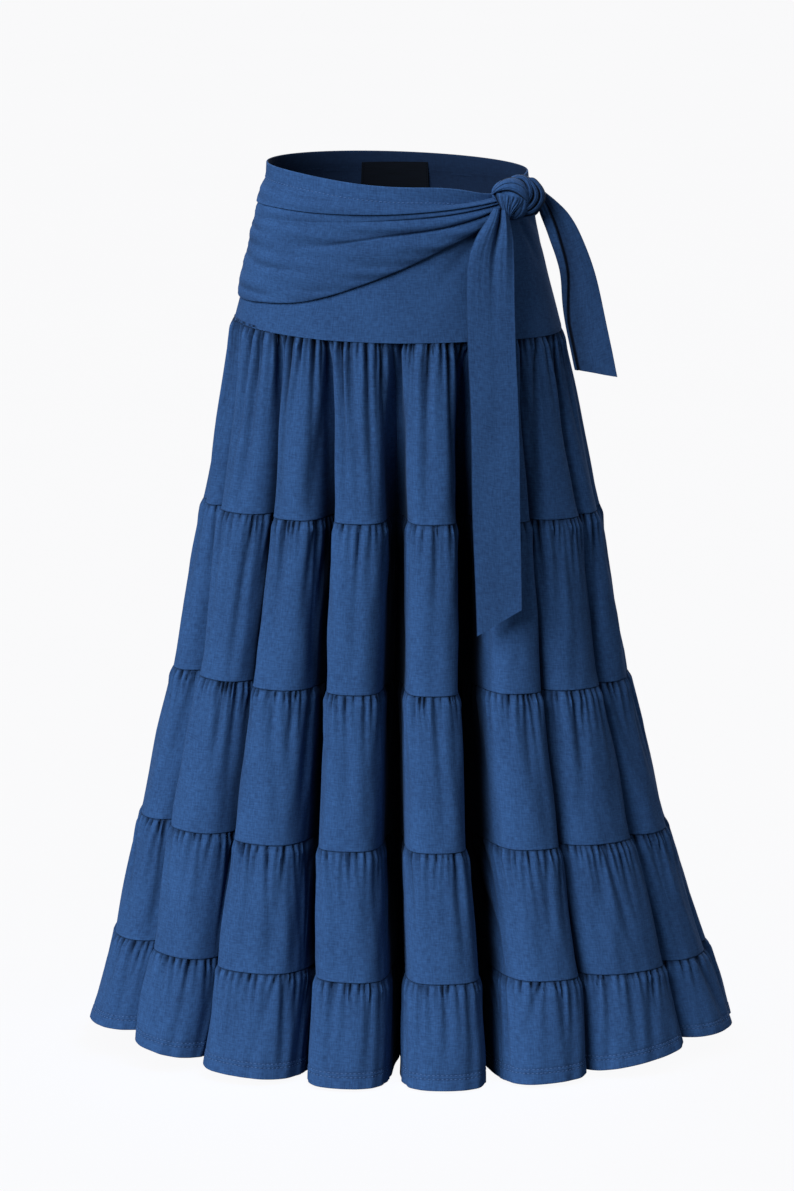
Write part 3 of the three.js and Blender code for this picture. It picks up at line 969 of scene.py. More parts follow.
@dataclass
class Waistband:
    """Half of the waistband: cloth folded double over the top, with a topstitch."""

    half: Half
    height: float = 22.0
    depth: float = 2.2  # from its outer to its inner face
    thickness: float = 0.65
    stitch_drop: float = 15.5  # below the top edge
    radius: float = 118.0  # of the waist, on average
    columns: int = 161

    def section(self) -> Array:
        """Draw the band's section, as out and down: up the inner face, over, and down."""
        edge = self.depth / 2
        downs = np.linspace(self.height, edge, 7)
        inner = [(-self.depth + 1.15 * float(eased((d - 12) / 9)), d) for d in downs]
        bend = np.radians(np.linspace(160, 20, 5))
        top = [(edge * math.cos(b) - edge, edge - edge * math.sin(b)) for b in bend]
        # closer together round the topstitch's groove
        downs = (edge, 3, 5, 7.5, 10, 12, 13.6, 14.6, 15.5, 16.4, 17.4, 19, self.height)
        return np.array([*inner, *top, *((0, d) for d in downs)])

    def build(self, hips: HipForm, finishes: Finishes) -> list[bpy.types.Object]:
        """Make the band and its topstitch.

        Args:
            hips: the form that it lies on.
            finishes: the materials.

        Returns:
            The band and its stitches.
        """
        start = self.half.start
        degrees = np.linspace(start, start + 180, self.columns)[None, :]
        out, down = (column[:, None] for column in self.section().T)
        top = hips.edge_lift(degrees)
        reach = np.radians(degrees) * self.radius
        outside = (out > -0.1) * eased((down - 2) / 5)
        soft = 0.28 * ripple(reach, down, (75.0, 7.0), 21) * outside
        groove = -0.35 * np.exp(-(((down - self.stitch_drop) / 1.0) ** 2)) * outside
        points = hips.point(degrees, top - down, out + soft + groove)
        name = f"waistband_{self.half.word}"
        uv = flat_places(reach, down - out)
        band = shell(name + "_cloth", points, self.thickness, uv)
        fit(band, Slot.SKIRT, finishes.cloth, name)
        paint_inside_shade(band, finishes.facing)
        line = np.linspace(start + 1, start + 179, 360)
        path = hips.point(line, hips.edge_lift(line) - self.stitch_drop, 0.0)
        stitches = RunningStitch().sew(name + "_topstitch", [path], finishes.thread)
        fit(stitches, Slot.SKIRT, finishes.thread)
        return [band, stitches]


@dataclass
class Yoke:
    """Half of the fitted hip yoke, with faint pulls towards the knot."""

    half: Half
    thickness: float = 0.8
    top: float = -22.3  # the waistband's foot, below its edge
    tuck: float = 4.0  # how far it goes up behind the waistband
    tone: float = 0.1  # how much painted shade it gets all over
    columns: int = 141
    rows: int = 36
    # drag lines: from an angle and height to another, then depth and width
    pulls: tuple[tuple[float, ...], ...] = (
        (40, -47, 12, -118, 1.6, 5.0),
        (43, -52, 27, -128, 1.3, 4.5),
        (36, -45, -12, -104, 0.9, 5.5),
        (62, -50, 78, -112, 1.3, 6.0),
        (70, -42, 100, -96, 1.0, 6.0),
    )

    def relief(self, degrees: Array, z: Array) -> Array:
        """Shape the drag lines and a faint unevenness.

        Args:
            degrees: the angle of each point.
            z: its height.

        Returns:
            How far each point stands out.
        """
        reach = degrees * HIP_PER_DEGREE
        height = 0.3 * ripple(reach, z, (60.0, 70.0), 33)
        for from_deg, from_z, to_deg, to_z, deep, wide in self.pulls:
            start = np.array([from_deg * HIP_PER_DEGREE, from_z])
            along = np.array([to_deg * HIP_PER_DEGREE, to_z]) - start
            length = np.linalg.norm(along)
            along = along / length
            x, y = reach - start[0], z - start[1]
            down = (x * along[0] + y * along[1]) / length
            aside = (x * along[1] - y * along[0]) / (wide * (0.6 + np.clip(down, 0, 1)))
            fade = eased(down * 6 + 0.5) * eased(1.4 - 1.3 * down)
            height = height - deep * fade * np.exp(-(aside**2))
        return height

    def build(self, hips: HipForm, folds: FoldForm, finishes: Finishes) -> bpy.types.Object:
        """Make the yoke half.

        Args:
            hips: the form that it lies on.
            folds: the form of the cloth below it.
            finishes: the materials.

        Returns:
            The piece.
        """
        start = self.half.start
        degrees = np.linspace(start, start + 180, self.columns)[None, :]
        share = np.linspace(0, 1, self.rows)[:, None]
        top = hips.edge_lift(degrees) + self.top + self.tuck
        foot = folds.yoke_seam(degrees)
        z = top + (foot - top) * share
        above = eased(1 - (top - z) / (self.tuck + 2))
        near_foot = eased((z - foot) / 6)
        out = self.relief(degrees, z) * near_foot - 0.72 * above
        outer = hips.point(degrees, z, out)
        name = f"yoke_{self.half.word}"
        uv = flat_places(degrees * HIP_PER_DEGREE, z)
        cloth = shell(name + "_cloth", outer, self.thickness, uv, self.tone)
        piece = fit(cloth, Slot.SKIRT, finishes.cloth, name)
        paint_inside_shade(piece, finishes.facing)
        return piece


@dataclass
class Tier:
    """Half of one tier: a strip gathered to the piece above it."""

    number: int  # 1 hangs from the yoke
    half: Half
    flat: tuple[float, float]  # the cut half-strip, in metres
    columns: int
    rows: int
    gathers: Creases
    folds: Creases
    puff: float = 2.8  # how far the cloth swells under the seam
    thickness: float = 0.8
    tuck: float = 3.5  # how far it goes up behind the piece above
    turned_hem: float = 0.0  # the depth of the hem that is turned up
    hem_rows: float = 3.8  # between the hem's two rows of stitches
    # how much painted shade the gathers, the longer folds, the seam's line and the hem's stitching
    # get
    gather_shade: float = 0.95
    fold_shade: float = 0.6
    seam_shade: float = 0.85
    hem_shade: float = 0.3

    def heights(self, length: float) -> Array:
        """List the distance of each row below the seam, close together near both edges."""
        top = [-self.tuck, -1.5, 0.0, 0.8, 1.7, 2.8, 4.0, 5.6, 7.6, 10.0, 13.0]
        foot = [3.2, 1.2, 0.35, 0.0]
        if self.turned_hem:
            steps = (3.5, 1.2, 0.0, -1.2, -2.6, -3.8, -5.0, -8.5)
            foot = [*(self.turned_hem + step for step in steps), 1.2, 0.35, 0.0]
        middle = self.rows - len(top) - len(foot)
        share = (np.arange(1, middle + 1) / (middle + 1)) ** 1.25
        between = top[-1] + (length - foot[0] - top[-1]) * share
        return np.array([*top, *between, *(length - np.array(foot))])

    def relief(self, along: Array, down: Array, length: float) -> tuple[Array, Array]:
        """Shape the gathers, the longer folds, the creased surface and the hem.

        Args:
            along: the place of each column along the seam.
            down: the distance of each row below the seam.
            length: the tier's length.

        Returns:
            How far each point stands out, and its painted shade, for rows by columns.
        """
        height, shade = self.gathers.relief(along, down)
        long_height, long_shade = self.folds.relief(along, down)
        height = height + long_height
        # painted shade in the gathers and the longer folds, and a painted shadow along the seam's
        # line
        shade = np.maximum(self.gather_shade * shade, self.fold_shade * long_shade)
        shade = np.maximum(shade, self.seam_shade * np.exp(-((down / 1.1) ** 2))[:, None])
        seed = self.number * 10 + self.half.folds[0]
        below = np.maximum(down, 0)[:, None]
        height = height + 0.8 * ripple(along[None, :], below, (24.0, 120.0), seed)
        to_foot = (length - down)[:, None]
        if self.turned_hem:
            rows = [to_foot - self.turned_hem, to_foot - self.turned_hem + self.hem_rows]
            line = sum(np.exp(-((row / 1.0) ** 2)) for row in rows)
            pucker = 0.22 * ripple(along[None, :], to_foot, (9.0, 60.0), seed + 3)
            height = height + (pucker - 0.5) * line + 0.35 * (to_foot < self.turned_hem - 1)
            # painted shade along the hem's rows of stitches
            shade = np.maximum(shade, self.hem_shade * line)
        else:
            height = height * eased((to_foot - 0.5) / 7)
        height = height * eased((down[:, None] + 1.0) / 1.6)
        return height - 0.5 * (to_foot < 0.2), shade

    def build(self, form: FoldForm, finishes: Finishes) -> list[bpy.types.Object]:
        """Make the tier half, and its hem's stitches if it has a hem.

        Args:
            form: the folded form that it hangs in.
            finishes: the materials.

        Returns:
            The pieces.
        """
        first, last = self.half.folds
        top_level = self.number - 1
        length = float(form.RINGS[top_level, 0] - form.RINGS[self.number, 0])
        fine = np.linspace(first, last, 6000)
        middle = form.point(fine, np.array(top_level + 0.6))
        turn = read_rows(fine[:, None], spread_evenly(middle, self.columns))[:, 0]
        seam = form.point(turn, np.array(float(top_level) + 0.02))
        along = np.concatenate([[0], np.cumsum(np.linalg.norm(np.diff(seam, axis=0), axis=1))])
        down = self.heights(length)
        level = (top_level + down / length)[:, None]
        share = np.clip(down / length, 0, 1)[:, None]
        swell = self.puff * eased(down[:, None] / 13 + 0.12) * (1 - share**1.5)
        tucked = 1.4 * eased((0.9 - down[:, None]) / 1.3)
        wander = 2.0 * ripple(turn[None, :], level, (1.9, 1.3), 7)
        wander = wander * eased(level / 0.5)
        base = form.point(turn[None, :], level, wander)
        height, shade = self.relief(along, down, length)
        height = height + swell - tucked
        # painted shade in the valleys between the folds
        shade = np.maximum(shade, form.shade(turn[None, :], level))
        outer = base + grid_normals(base) * height[..., None]
        width = arc_lengths(base, 1)[len(down) // 2]
        name = f"tier_{self.number}_{self.half.word}"
        # each tier is cut from another stretch of the weave
        uv = flat_places(width[None, :], down[:, None]) + self.number * 0.37
        piece = shell(name + "_cloth", outer, self.thickness, uv, shade)
        fit(piece, Slot.SKIRT, finishes.cloth, name)
        if not self.turned_hem:
            return [piece]
        raised = outer + grid_normals(outer) * 0.15
        above_hem = length - down - self.turned_hem
        rows = [int(np.argmin(np.abs(above_hem + step))) for step in (0, self.hem_rows)]
        paths = [raised[row][2:-2] for row in rows]
        stitches = RunningStitch(seed=11).sew(name + "_hem_stitches", paths, finishes.thread)
        return [piece, fit(stitches, Slot.SKIRT, finishes.thread)]


@dataclass
class Sash:
    """Half of the sash: a wide panel drawn in pleats from the side seam to the knot."""

    half: Half
    thickness: float = 0.8
    stations: int = 116
    between: int = 5  # steps between two lines across the sash
    per_degree: float = 2.6  # mm along the sash for a degree round the hips
    rest: float = 1.25  # how far its outer face lies off the hips before any pleat
    tone: float = 0.2  # how much painted shade its middle gets

    # for each line across: heights at six even stations from the side seam to the knot,
    # and how far it stands off the yoke at the side seam, half way and at the knot
    lines: tuple[tuple[tuple[float, ...], tuple[float, float, float]], ...] = (
        ((-14, -14, -19, -24, -27, -22), (-1.0, -1.0, -1.0)),
        ((-18, -18, -22, -26, -28, -22.5), (0.6, 0.9, 1.6)),
        ((-27, -26, -28, -30, -28.8, -23.4), (3.0, 3.6, 5.4)),
        ((-34.5, -33, -34, -33.4, -30.2, -24.4), (3.7, 4.8, 6.4)),
        ((-37.0, -35.5, -36.2, -35.4, -31.4, -25.1), (3.6, 4.7, 5.6)),
        ((-36.0, -34.6, -35.3, -34.6, -30.9, -24.9), (1.5, 1.8, 2.4)),
        ((-39.5, -38, -37.6, -37, -32.9, -26), (2.6, 2.9, 5.0)),
        ((-46, -44, -42.5, -40, -35.2, -27.0), (3.2, 3.3, 6.4)),
        ((-49, -47.5, -45, -41.7, -36.6, -27.8), (3.0, 3.0, 5.0)),
        ((-50, -48.5, -45.6, -41.9, -36.8, -28.0), (2.9, 2.7, 2.2)),
        ((-54, -52, -49, -44.5, -38.8, -29.0), (3.2, 3.5, 5.2)),
        ((-66, -62, -57, -50, -43.0, -30.5), (4.2, 4.7, 7.2)),
        ((-78, -73, -66.5, -56, -46.8, -31.8), (3.9, 4.0, 6.0)),
        ((-84, -79, -71, -59, -48.8, -32.6), (3.5, 2.5, 2.2)),
        ((-90, -85, -75.5, -62, -50.6, -33.4), (3.6, 3.3, 5.2)),
        ((-104, -100, -90, -74, -56.0, -35.4), (4.4, 4.9, 7.0)),
        ((-118, -116, -106, -87, -61.5, -37.4), (4.1, 4.5, 6.6)),
        ((-128, -127, -119, -95, -65.0, -38.8), (3.0, 3.3, 5.2)),
        ((-133.5, -132.6, -125, -99, -67.2, -39.8), (2.2, 2.2, 3.6)),
        ((-135, -134, -126.4, -100.3, -68.2, -40.4), (1.2, 1.0, 1.4)),
    )
    span: tuple[float, float, float] = (-90.0, 50.0, 100.0)  # from, and to at front and back

    def line(self, place: int, share: Array) -> Array:
        """Find the height and the stand of a line across the sash.

        Args:
            place: the line's place in the list.
            share: how far along the sash each station is.

        Returns:
            Height and stand for each station.
        """
        return np.stack([read_smoothly(row, share, 40) for row in self.lines[place]], axis=-1)

    def build(self, hips: HipForm, finishes: Finishes) -> bpy.types.Object:
        """Make the sash half.

        Args:
            hips: the form that it lies on.
            finishes: the materials.

        Returns:
            The piece.
        """
        is_front = self.half is Half.FRONT
        begin, end = self.span[0], self.span[1] if is_front else self.span[2]
        share = np.linspace(0, 1, self.stations)
        controls = np.array([self.line(k, share) for k in range(len(self.lines))])
        across = smooth_through(controls, self.between)
        z, stand = across[..., 0], across[..., 1]
        degrees = begin + (end - begin) * share
        reach = degrees[None, :] * self.per_degree
        soft = ripple(reach, z, (170.0, 15.0), 41 if is_front else 43)
        row = np.arange(len(across))
        inside = np.clip(row / 9, 0, 1) * np.clip((len(across) - 1 - row) / 10, 0, 1)
        stand = stand + 0.6 * soft * inside[:, None]
        # painted shade in the hollows between the pleats, and over the sash's middle
        shade = 0.95 * np.minimum(cavity(stand, 4) / 1.5, 1) ** 1.2
        painted_middle_shade = self.tone * eased((share - 0.15) / 0.35) * eased((0.95 - share) / 0.3)
        shade = np.maximum(shade, painted_middle_shade)
        turned = degrees if is_front else 180 - degrees
        outer = hips.point(turned[None, :], z, self.rest + stand)
        uv = flat_places(reach, arc_lengths(outer, 0))
        if not is_front:
            outer, uv, shade = outer[:, ::-1], uv[:, ::-1], shade[:, ::-1]
        name = f"sash_{self.half.word}"
        cloth = shell(name + "_cloth", outer, self.thickness, uv, shade)
        piece = fit(cloth, Slot.SASH, finishes.cloth, name)
        return piece


@dataclass
class KnotTurn:
    """One turn of the knot: pleated cloth that bends round a point, from pole to pole."""

    name: str
    pivot: tuple[float, float, float]  # the point that the cloth bends round
    sweep: tuple[float, float]  # from and to, in degrees, as the camera sees it
    reach: tuple[float, float, float]  # from the pivot to its middle, at start, middle and end
    radius: float
    ends: tuple[float, float]  # its radius at the two poles
    fullness: float  # below 1 the cloth swells early
    depth: float  # its thickness towards the camera, as a share of its width
    pleats: int
    deep: float
    seed: int

    def build(self, hips: HipForm, finishes: Finishes) -> bpy.types.Object:
        """Make the turn.

        Args:
            hips: the form that it rests on.
            finishes: the materials.

        Returns:
            The piece.
        """
        rng = np.random.default_rng(self.seed)
        widths = rng.uniform(0.5, 1.6, self.pleats)
        edges = np.concatenate([[0], np.cumsum(widths / widths.sum())]) * 2 * math.pi
        deeps = rng.uniform(0.55, 1.3, self.pleats)
        around = np.linspace(0, 2 * math.pi, 130, endpoint=False)[None, :]
        share = np.linspace(0, 1, 44)[:, None]
        drift = 0.22 * np.sin(2.2 * share + self.seed) + 0.25 * share
        place = np.mod(around + drift, 2 * math.pi)
        pleat = np.clip(np.searchsorted(edges, place, side="right") - 1, 0, self.pleats - 1)
        inside = (place - edges[pleat]) / (edges[pleat + 1] - edges[pleat])
        crown = 1 - np.abs(2 * inside - 1.15) ** 2.2 / 1.3
        full = np.sin(math.pi * np.clip(share, 0.0, 1)) ** self.fullness
        end = self.ends[0] + (self.ends[1] - self.ends[0]) * share
        width = end + (self.radius - end) * full
        radius = width + self.deep * deeps[pleat] * (crown - 0.6) * (0.3 + 0.7 * full)
        first, middle, last = self.reach
        bow = middle - (first + last) / 2
        reach = first + (last - first) * share + bow * np.sin(math.pi * share)
        turn = np.radians(self.sweep[0] + (self.sweep[1] - self.sweep[0]) * share)
        right, up, towards = camera_axes()
        away = np.cos(turn)[..., None] * right + np.sin(turn)[..., None] * up
        points = np.array(self.pivot) + (reach + radius * np.cos(around))[..., None] * away
        points = points + (self.depth * radius * np.sin(around))[..., None] * towards
        points = hips.pushed_out(points, 0.4)
        uv = flat_places(around * self.radius, share * self.radius * 3)
        piece = tube(self.name + "_cloth", points, uv)
        return fit(piece, Slot.SASH, finishes.cloth, self.name)


@dataclass
class KnotStrap:
    """A strap of cloth laid over the knot, crowned between its two edges and pleated along.

    Its points are given as the camera sees them, from the knot's middle: to the right, up
    and towards the camera.
    """

    name: str
    outer: tuple[tuple[float, float], ...]
    inner: tuple[tuple[float, float], ...]
    ball: tuple[tuple[float, float, float], tuple[float, float, float]]  # centre, half-sizes
    grooves: tuple[tuple[float, float], ...]  # the place between the edges, and the depth
    crown: float = 2.6  # how far its middle stands out
    tucked: float = 4.0  # how far its edges dip
    across: int = 30  # points across it
    tone: float = 0.1  # how much painted shade it gets all over
    rim: float = 0.8  # from where painted shade darkens its edges, as a share of its half-width
    fine: float = 0.075  # half of a groove's width, as a share of the strap's width
    thickness: float = 0.9
    MIDDLE = np.array([122.4, -74.0, -20.6])

    def build(self, finishes: Finishes) -> bpy.types.Object:
        """Make the strap.

        Args:
            finishes: the materials.

        Returns:
            The piece.
        """
        edges = [smooth_through(np.array(edge, float), 24) for edge in (self.outer, self.inner)]
        outer, inner = (read_rows(edge, spread_evenly(edge, 80)) for edge in edges)
        across = np.linspace(0, 1, self.across)[:, None]
        flat = outer + (inner - outer) * across[..., None]
        (aside, above, near), (wide, high, deep) = self.ball
        reach = ((flat[..., 0] - aside) / wide) ** 2 + ((flat[..., 1] - above) / high) ** 2
        dome = near + deep * np.sqrt(np.clip(1 - reach, 0, 1)) - 5 * np.maximum(reach - 1, 0)
        from_middle = np.abs(2 * across - 1)
        stand = self.crown * (1 - from_middle**2) - self.tucked * from_middle**7
        share = np.linspace(0, 1, flat.shape[1])[None, :]
        # painted shade at its edges, where it meets the next strap, and all over it
        rim = np.maximum(eased((from_middle - self.rim) / (0.72 - 0.72 * self.rim)), self.tone)
        shade = np.broadcast_to(rim, flat.shape[:2])
        for k, (place, depth) in enumerate(self.grooves):
            off = across - place - 0.025 * np.sin(5 * share + 2 * k)
            ends = eased(share * 5 + 0.3) * eased((1 - share) * 5 + 0.3)
            groove = ends * np.maximum(1 - np.abs(off) / self.fine, 0) ** 1.2
            stand = stand - depth * groove
            # painted shade in the grooves
            shade = np.maximum(shade, min(depth / 1.6, 1) * groove)
        right, up, towards = camera_axes()
        points = self.MIDDLE + flat[..., :1] * right + flat[..., 1:] * up
        points = points + (dome + stand)[..., None] * towards
        if float((grid_normals(points) @ towards).mean()) < 0:
            points, shade = points[::-1], shade[::-1]
        uv = flat_places(arc_lengths(points, 1), arc_lengths(points, 0))
        piece = shell(self.name + "_cloth", points, self.thickness, uv, shade)
        return fit(piece, Slot.SASH, finishes.cloth)


@dataclass
class TieEnd:
    """A free end of the sash, which hangs from the knot in lengthwise pleats."""

    name: str
    levels: tuple[tuple[float, ...], ...]  # height, left, right, depth in Y, crease
    point: float  # how much lower its left corner hangs than its right one
    flat: tuple[float, float]
    profile: tuple[float, ...]  # how far the cloth stands out across the tie
    turned: float = 4.0  # how much nearer its left edge hangs than its middle
    sharp: tuple[float, float] = (0.0, 0.0)  # the place of a sharp fold, at its top and foot
    tone: float = 0.0  # painted shade over the whole tie, which is turned from the light
    slant: float = 6.0  # the higher, the nearer to its foot the slanted cut begins
    thickness: float = 0.9
    across: int = 61
    steps: int = 10
    seed: int = 61

    def build(self, finishes: Finishes) -> bpy.types.Object:
        """Make the tie.

        Args:
            finishes: the materials.

        Returns:
            The piece.
        """
        table = smooth_through(np.array(self.levels, float), self.steps)
        table = read_rows(table, spread_evenly(table[:, [0, 3]], len(table)))
        z, left, right, depth, crease = table.T[..., None]
        share = np.linspace(0, 1, self.across)[None, :]
        shape = read_smoothly(self.profile, share, 20)
        down = (z[0] - z) / (z[0] - z[-1])
        narrow = eased(1 - down * 3.2)
        small = ripple(share * 60, down * 300, (11.0, 420.0), self.seed)
        stand = shape * crease + small * (0.02 + 0.7 * narrow)
        stand = stand + self.turned * (1 - 2 * share) * eased(down * 4)
        stand = stand + 0.7 * ripple(share * 60, down * 300, (60.0, 110.0), self.seed + 1) * down
        edge = np.minimum(share, 1 - share) * (right - left)
        # painted shade in the hollows between its pleats
        shade = np.minimum(cavity(stand.T, 4).T / 1.8, 1)
        if self.sharp[0]:
            top, foot = self.sharp
            off = share - top - (foot - top) * np.minimum(down * 1.4, 1)
            past = np.maximum(off, 0)
            stand = stand - 3.0 * eased(off / 0.05 + 0.5) * eased(down * 9)
            # painted shade: dark in the fold's line, in half shade where the cloth turns away and
            # behind it
            line = np.exp(-((off / 0.05) ** 2)) + 0.72 * np.exp(-past / 0.18) * (off > 0)
            turned = (0.34 + 0.3 * np.exp(-past / 0.3)) * (off > -0.02)
            behind = 0.62 * eased(down * 3 - 0.5) * (off < 0.02)
            dark = np.maximum(line * eased(down * 6 + 0.2), np.maximum(turned, behind))
            shade = np.maximum(shade, dark)
        shade = np.maximum(shade, self.tone)
        # painted shade along its two edges
        shade = np.maximum(shade, 0.6 * np.exp(-((edge / 0.8) ** 2)))
        slope = self.point * (1 - share) * down**self.slant
        sway = 1.2 * ripple(np.zeros_like(share), down * 300, (90.0, 130.0), self.seed + 2)
        x = left + (right - left) * share + sway * eased(down * 5) * (1 - down)
        outer = np.stack(np.broadcast_arrays(x, depth - stand, z + slope), axis=-1)
        uv = flat_places(arc_lengths(outer, 1), arc_lengths(outer, 0))
        piece = shell(self.name + "_cloth", outer, self.thickness, uv, shade)
        fit(piece, Slot.SASH, finishes.cloth, self.name)
        return piece


@dataclass
class RibbonLabel:
    """A bare woven label inside the back of the waist, sewn down at its two ends."""

    angles: tuple[float, float] = (166.0, 196.0)
    heights: tuple[float, float] = (-11.0, -42.0)
    thickness: float = 0.9
    per_degree: float = 1.7  # mm along the ribbon for a degree round the waist
    margin: float = 0.8  # degrees from its ends to the stitches

    def build(self, hips: HipForm, finishes: Finishes) -> list[bpy.types.Object]:
        """Make the label and its stitches.

        Args:
            hips: the form that it lies on, from the inside.
            finishes: the materials.

        Returns:
            The pieces.
        """
        degrees = np.linspace(self.angles[1], self.angles[0], 60)[None, :]
        z = np.linspace(*self.heights, 26)[:, None]
        edge = np.minimum(np.abs(z - self.heights[0]), np.abs(z - self.heights[1]))
        bow = 0.35 * np.sin(np.radians((degrees - 166) * 6)) * eased(edge / 8)
        outer = hips.point(degrees, z, -2.75 - bow)
        uv = flat_places(degrees * self.per_degree, z)
        ribbon = shell("label_ribbon", outer, self.thickness, uv)
        piece = fit(ribbon, Slot.LABEL, finishes.ribbon, "label")
        rows = np.linspace(self.heights[0] - 1.5, self.heights[1] + 1.5, 20)
        ends = (self.angles[0] + self.margin, self.angles[1] - self.margin)
        paths = [hips.point(angle, rows, -2.95) for angle in ends]
        stitch = RunningStitch(spacing=2.6, length=1.9, width=0.5, seed=23)
        stitches = stitch.sew("label_stitches", paths, finishes.ribbon)
        return [piece, fit(stitches, Slot.LABEL, finishes.ribbon)]


@dataclass
class Studio:
    """The floor, the light and the camera."""

    floor_height: float = -929.8
    floor_size: float = 30.0  # metres from its middle to its edge
    distance: float = 6.0  # metres, from the camera to the point that it looks at
    aim: float = -0.456
    focal: float = 5714.3  # pixels of a picture 1191 high
    # for each light: its strength, the angle that it fills, its azimuth and its height
    key: tuple[float, float, float, float] = (5.2, 44.0, -46.0, 34.0)
    fill: tuple[float, float, float, float] = (0.8, 110.0, 60.0, 20.0)
    back: tuple[float, float, float, float] = (2.2, 70.0, 172.0, 28.0)
    floor_lamp: tuple[float, float, float, float] = (3.24, 10.0, 0.0, 90.0)
    glow: float = 0.02  # the light from all round

    def build(self, finishes: Finishes) -> None:
        """Make the floor, the lights and the camera."""
        size, height = self.floor_size, self.floor_height * MM
        corners = [(-size, -size), (size, -size), (size, size), (-size, size)]
        mesh = bpy.data.meshes.new("floor")
        mesh.from_pydata([(x, y, height) for x, y in corners], [], [(0, 1, 2, 3)])
        mesh.materials.append(finishes.floor)
        floor = add_object("floor", mesh)
        floor.visible_diffuse = False
        floor.visible_glossy = False
        lights = {"key_light": self.key, "fill_light": self.fill, "back_light": self.back}
        self.light_floor(floor, [self.add_sun(name, *given) for name, given in lights.items()])
        world = bpy.data.worlds.new("studio")
        world.use_nodes = True
        background = world.node_tree.nodes["Background"]
        background.inputs["Color"].default_value = (1.0, 1.0, 1.0, 1.0)
        background.inputs["Strength"].default_value = self.glow
        bpy.context.scene.world = world
        bpy.context.scene.view_settings.view_transform = "Standard"
        self.add_camera()

    def add_sun(
        self, name: str, strength: float, softness: float, azimuth: float, height: float
    ) -> bpy.types.Object:
        """Add a broad soft light that is as strong everywhere.

        Args:
            name: the light's name.
            strength: its strength.
            softness: the angle that it fills, in degrees.
            azimuth: where it stands, in degrees from the front, towards +X.
            height: how high it stands, in degrees.

        Returns:
            The light.
        """
        data = bpy.data.lights.new(name, "SUN")
        data.energy = strength
        data.angle = math.radians(softness)
        lamp = add_object(name, data)
        turn, rise = math.radians(azimuth), math.radians(height)
        level = math.cos(rise)
        away = Vector((math.sin(turn) * level, -math.cos(turn) * level, math.sin(rise)))
        lamp.rotation_euler = away.to_track_quat("Z", "Y").to_euler()
        return lamp

    def light_floor(self, floor: bpy.types.Object, others: list[bpy.types.Object]) -> None:
        """Light the floor by a lamp of its own, without hard shadows.

        Args:
            floor: the floor.
            others: the lights that then leave the floor out.
        """
        lamp = self.add_sun("floor_light", *self.floor_lamp)
        lamp.data.use_shadow = False
        for light, state in ((lamp, "INCLUDE"), *((other, "EXCLUDE") for other in others)):
            group = bpy.data.collections.new(f"{light.name}_{state.lower()}")
            group.objects.link(floor)
            group.collection_objects[0].light_linking.link_state = state
            light.light_linking.receiver_collection = group

    def add_camera(self) -> None:
        """Put the camera where the photograph was taken from."""
        data = bpy.data.cameras.new("camera")
        data.sensor_width = 36.0
        data.lens = 36.0 * self.focal / 1191
        data.clip_end = 100.0
        camera = add_object("camera", data)
        back = Vector(camera_axes()[2])
        camera.location = Vector((0, 0, self.aim)) + back * self.distance
        camera.rotation_euler = back.to_track_quat("Z", "Y").to_euler()
        bpy.context.scene.camera = camera


def tiers(half: Half) -> list[Tier]:
    """List the five tiers of a half, each with its own cut and its own creases."""
    seed = 100 if half is Half.FRONT else 200
    wide = 1.0 if half is Half.FRONT else 1.12
    cuts = ((0.65, 0.205), (0.86, 0.195), (1.14, 0.178), (1.3, 0.15), (1.34, 0.135))
    columns = (470, 600, 760, 880, 940)
    rows = (26, 26, 25, 24, 28)
    gathers = (
        (7.6, (3.0, 6.0), (20, 110), 1.7, 0.085, 0.04),
        (7.6, (2.8, 5.6), (17, 82), 1.7, 0.100, 0.06),
        (7.8, (2.8, 5.6), (17, 82), 1.7, 0.100, 0.06),
        (8.0, (2.6, 5.4), (15, 70), 1.7, 0.105, 0.07),
        (8.2, (2.6, 5.4), (13, 58), 1.7, 0.110, 0.08),
    )
    folds = (
        (16.0, (4.0, 8.5), (80, 280), 2.8, 0.040, 0.05),
        (28.0, (2.8, 6.0), (45, 200), 3.4, 0.055, 0.06),
        (30.0, (2.6, 5.8), (40, 160), 3.6, 0.060, 0.08),
        (32.0, (2.4, 5.6), (35, 130), 3.8, 0.065, 0.10),
        (36.0, (2.2, 5.0), (30, 100), 4.0, 0.070, 0.12),
    )
    return [
        Tier(
            number=k + 1,
            half=half,
            flat=(cuts[k][0] * wide, cuts[k][1]),
            columns=int(columns[k] * (1 if half is Half.FRONT else 0.72)),
            rows=rows[k],
            gathers=Creases(*gathers[k], seed + 1 + k),
            folds=Creases(*folds[k], seed + 11 + k),
            turned_hem=15.0 if k == 4 else 0.0,
            fold_shade=1.05 if k == 0 else 0.6,
        )
        for k in range(5)
    ]


def knot() -> tuple[KnotTurn, ...]:
    """Give the two wound bodies of the knot."""
    return (
        KnotTurn(
            name="knot_front_turn",
            pivot=(101, -76, -36.3),
            sweep=(104, -30),
            reach=(17.5, 23.5, 14.0),
            radius=15.2,
            ends=(1.5, 3.0),
            fullness=0.62,
            depth=1.0,
            pleats=13,
            deep=1.6,
            seed=4,
        ),
        KnotTurn(
            name="knot_side_turn",
            pivot=(122.5, -62, -22.6),
            sweep=(112, -112),
            reach=(14.0, 14.5, 14.0),
            radius=9.6,
            ends=(5.0, 5.0),
            fullness=0.5,
            depth=1.3,
            pleats=8,
            deep=1.8,
            seed=9,
        ),
    )


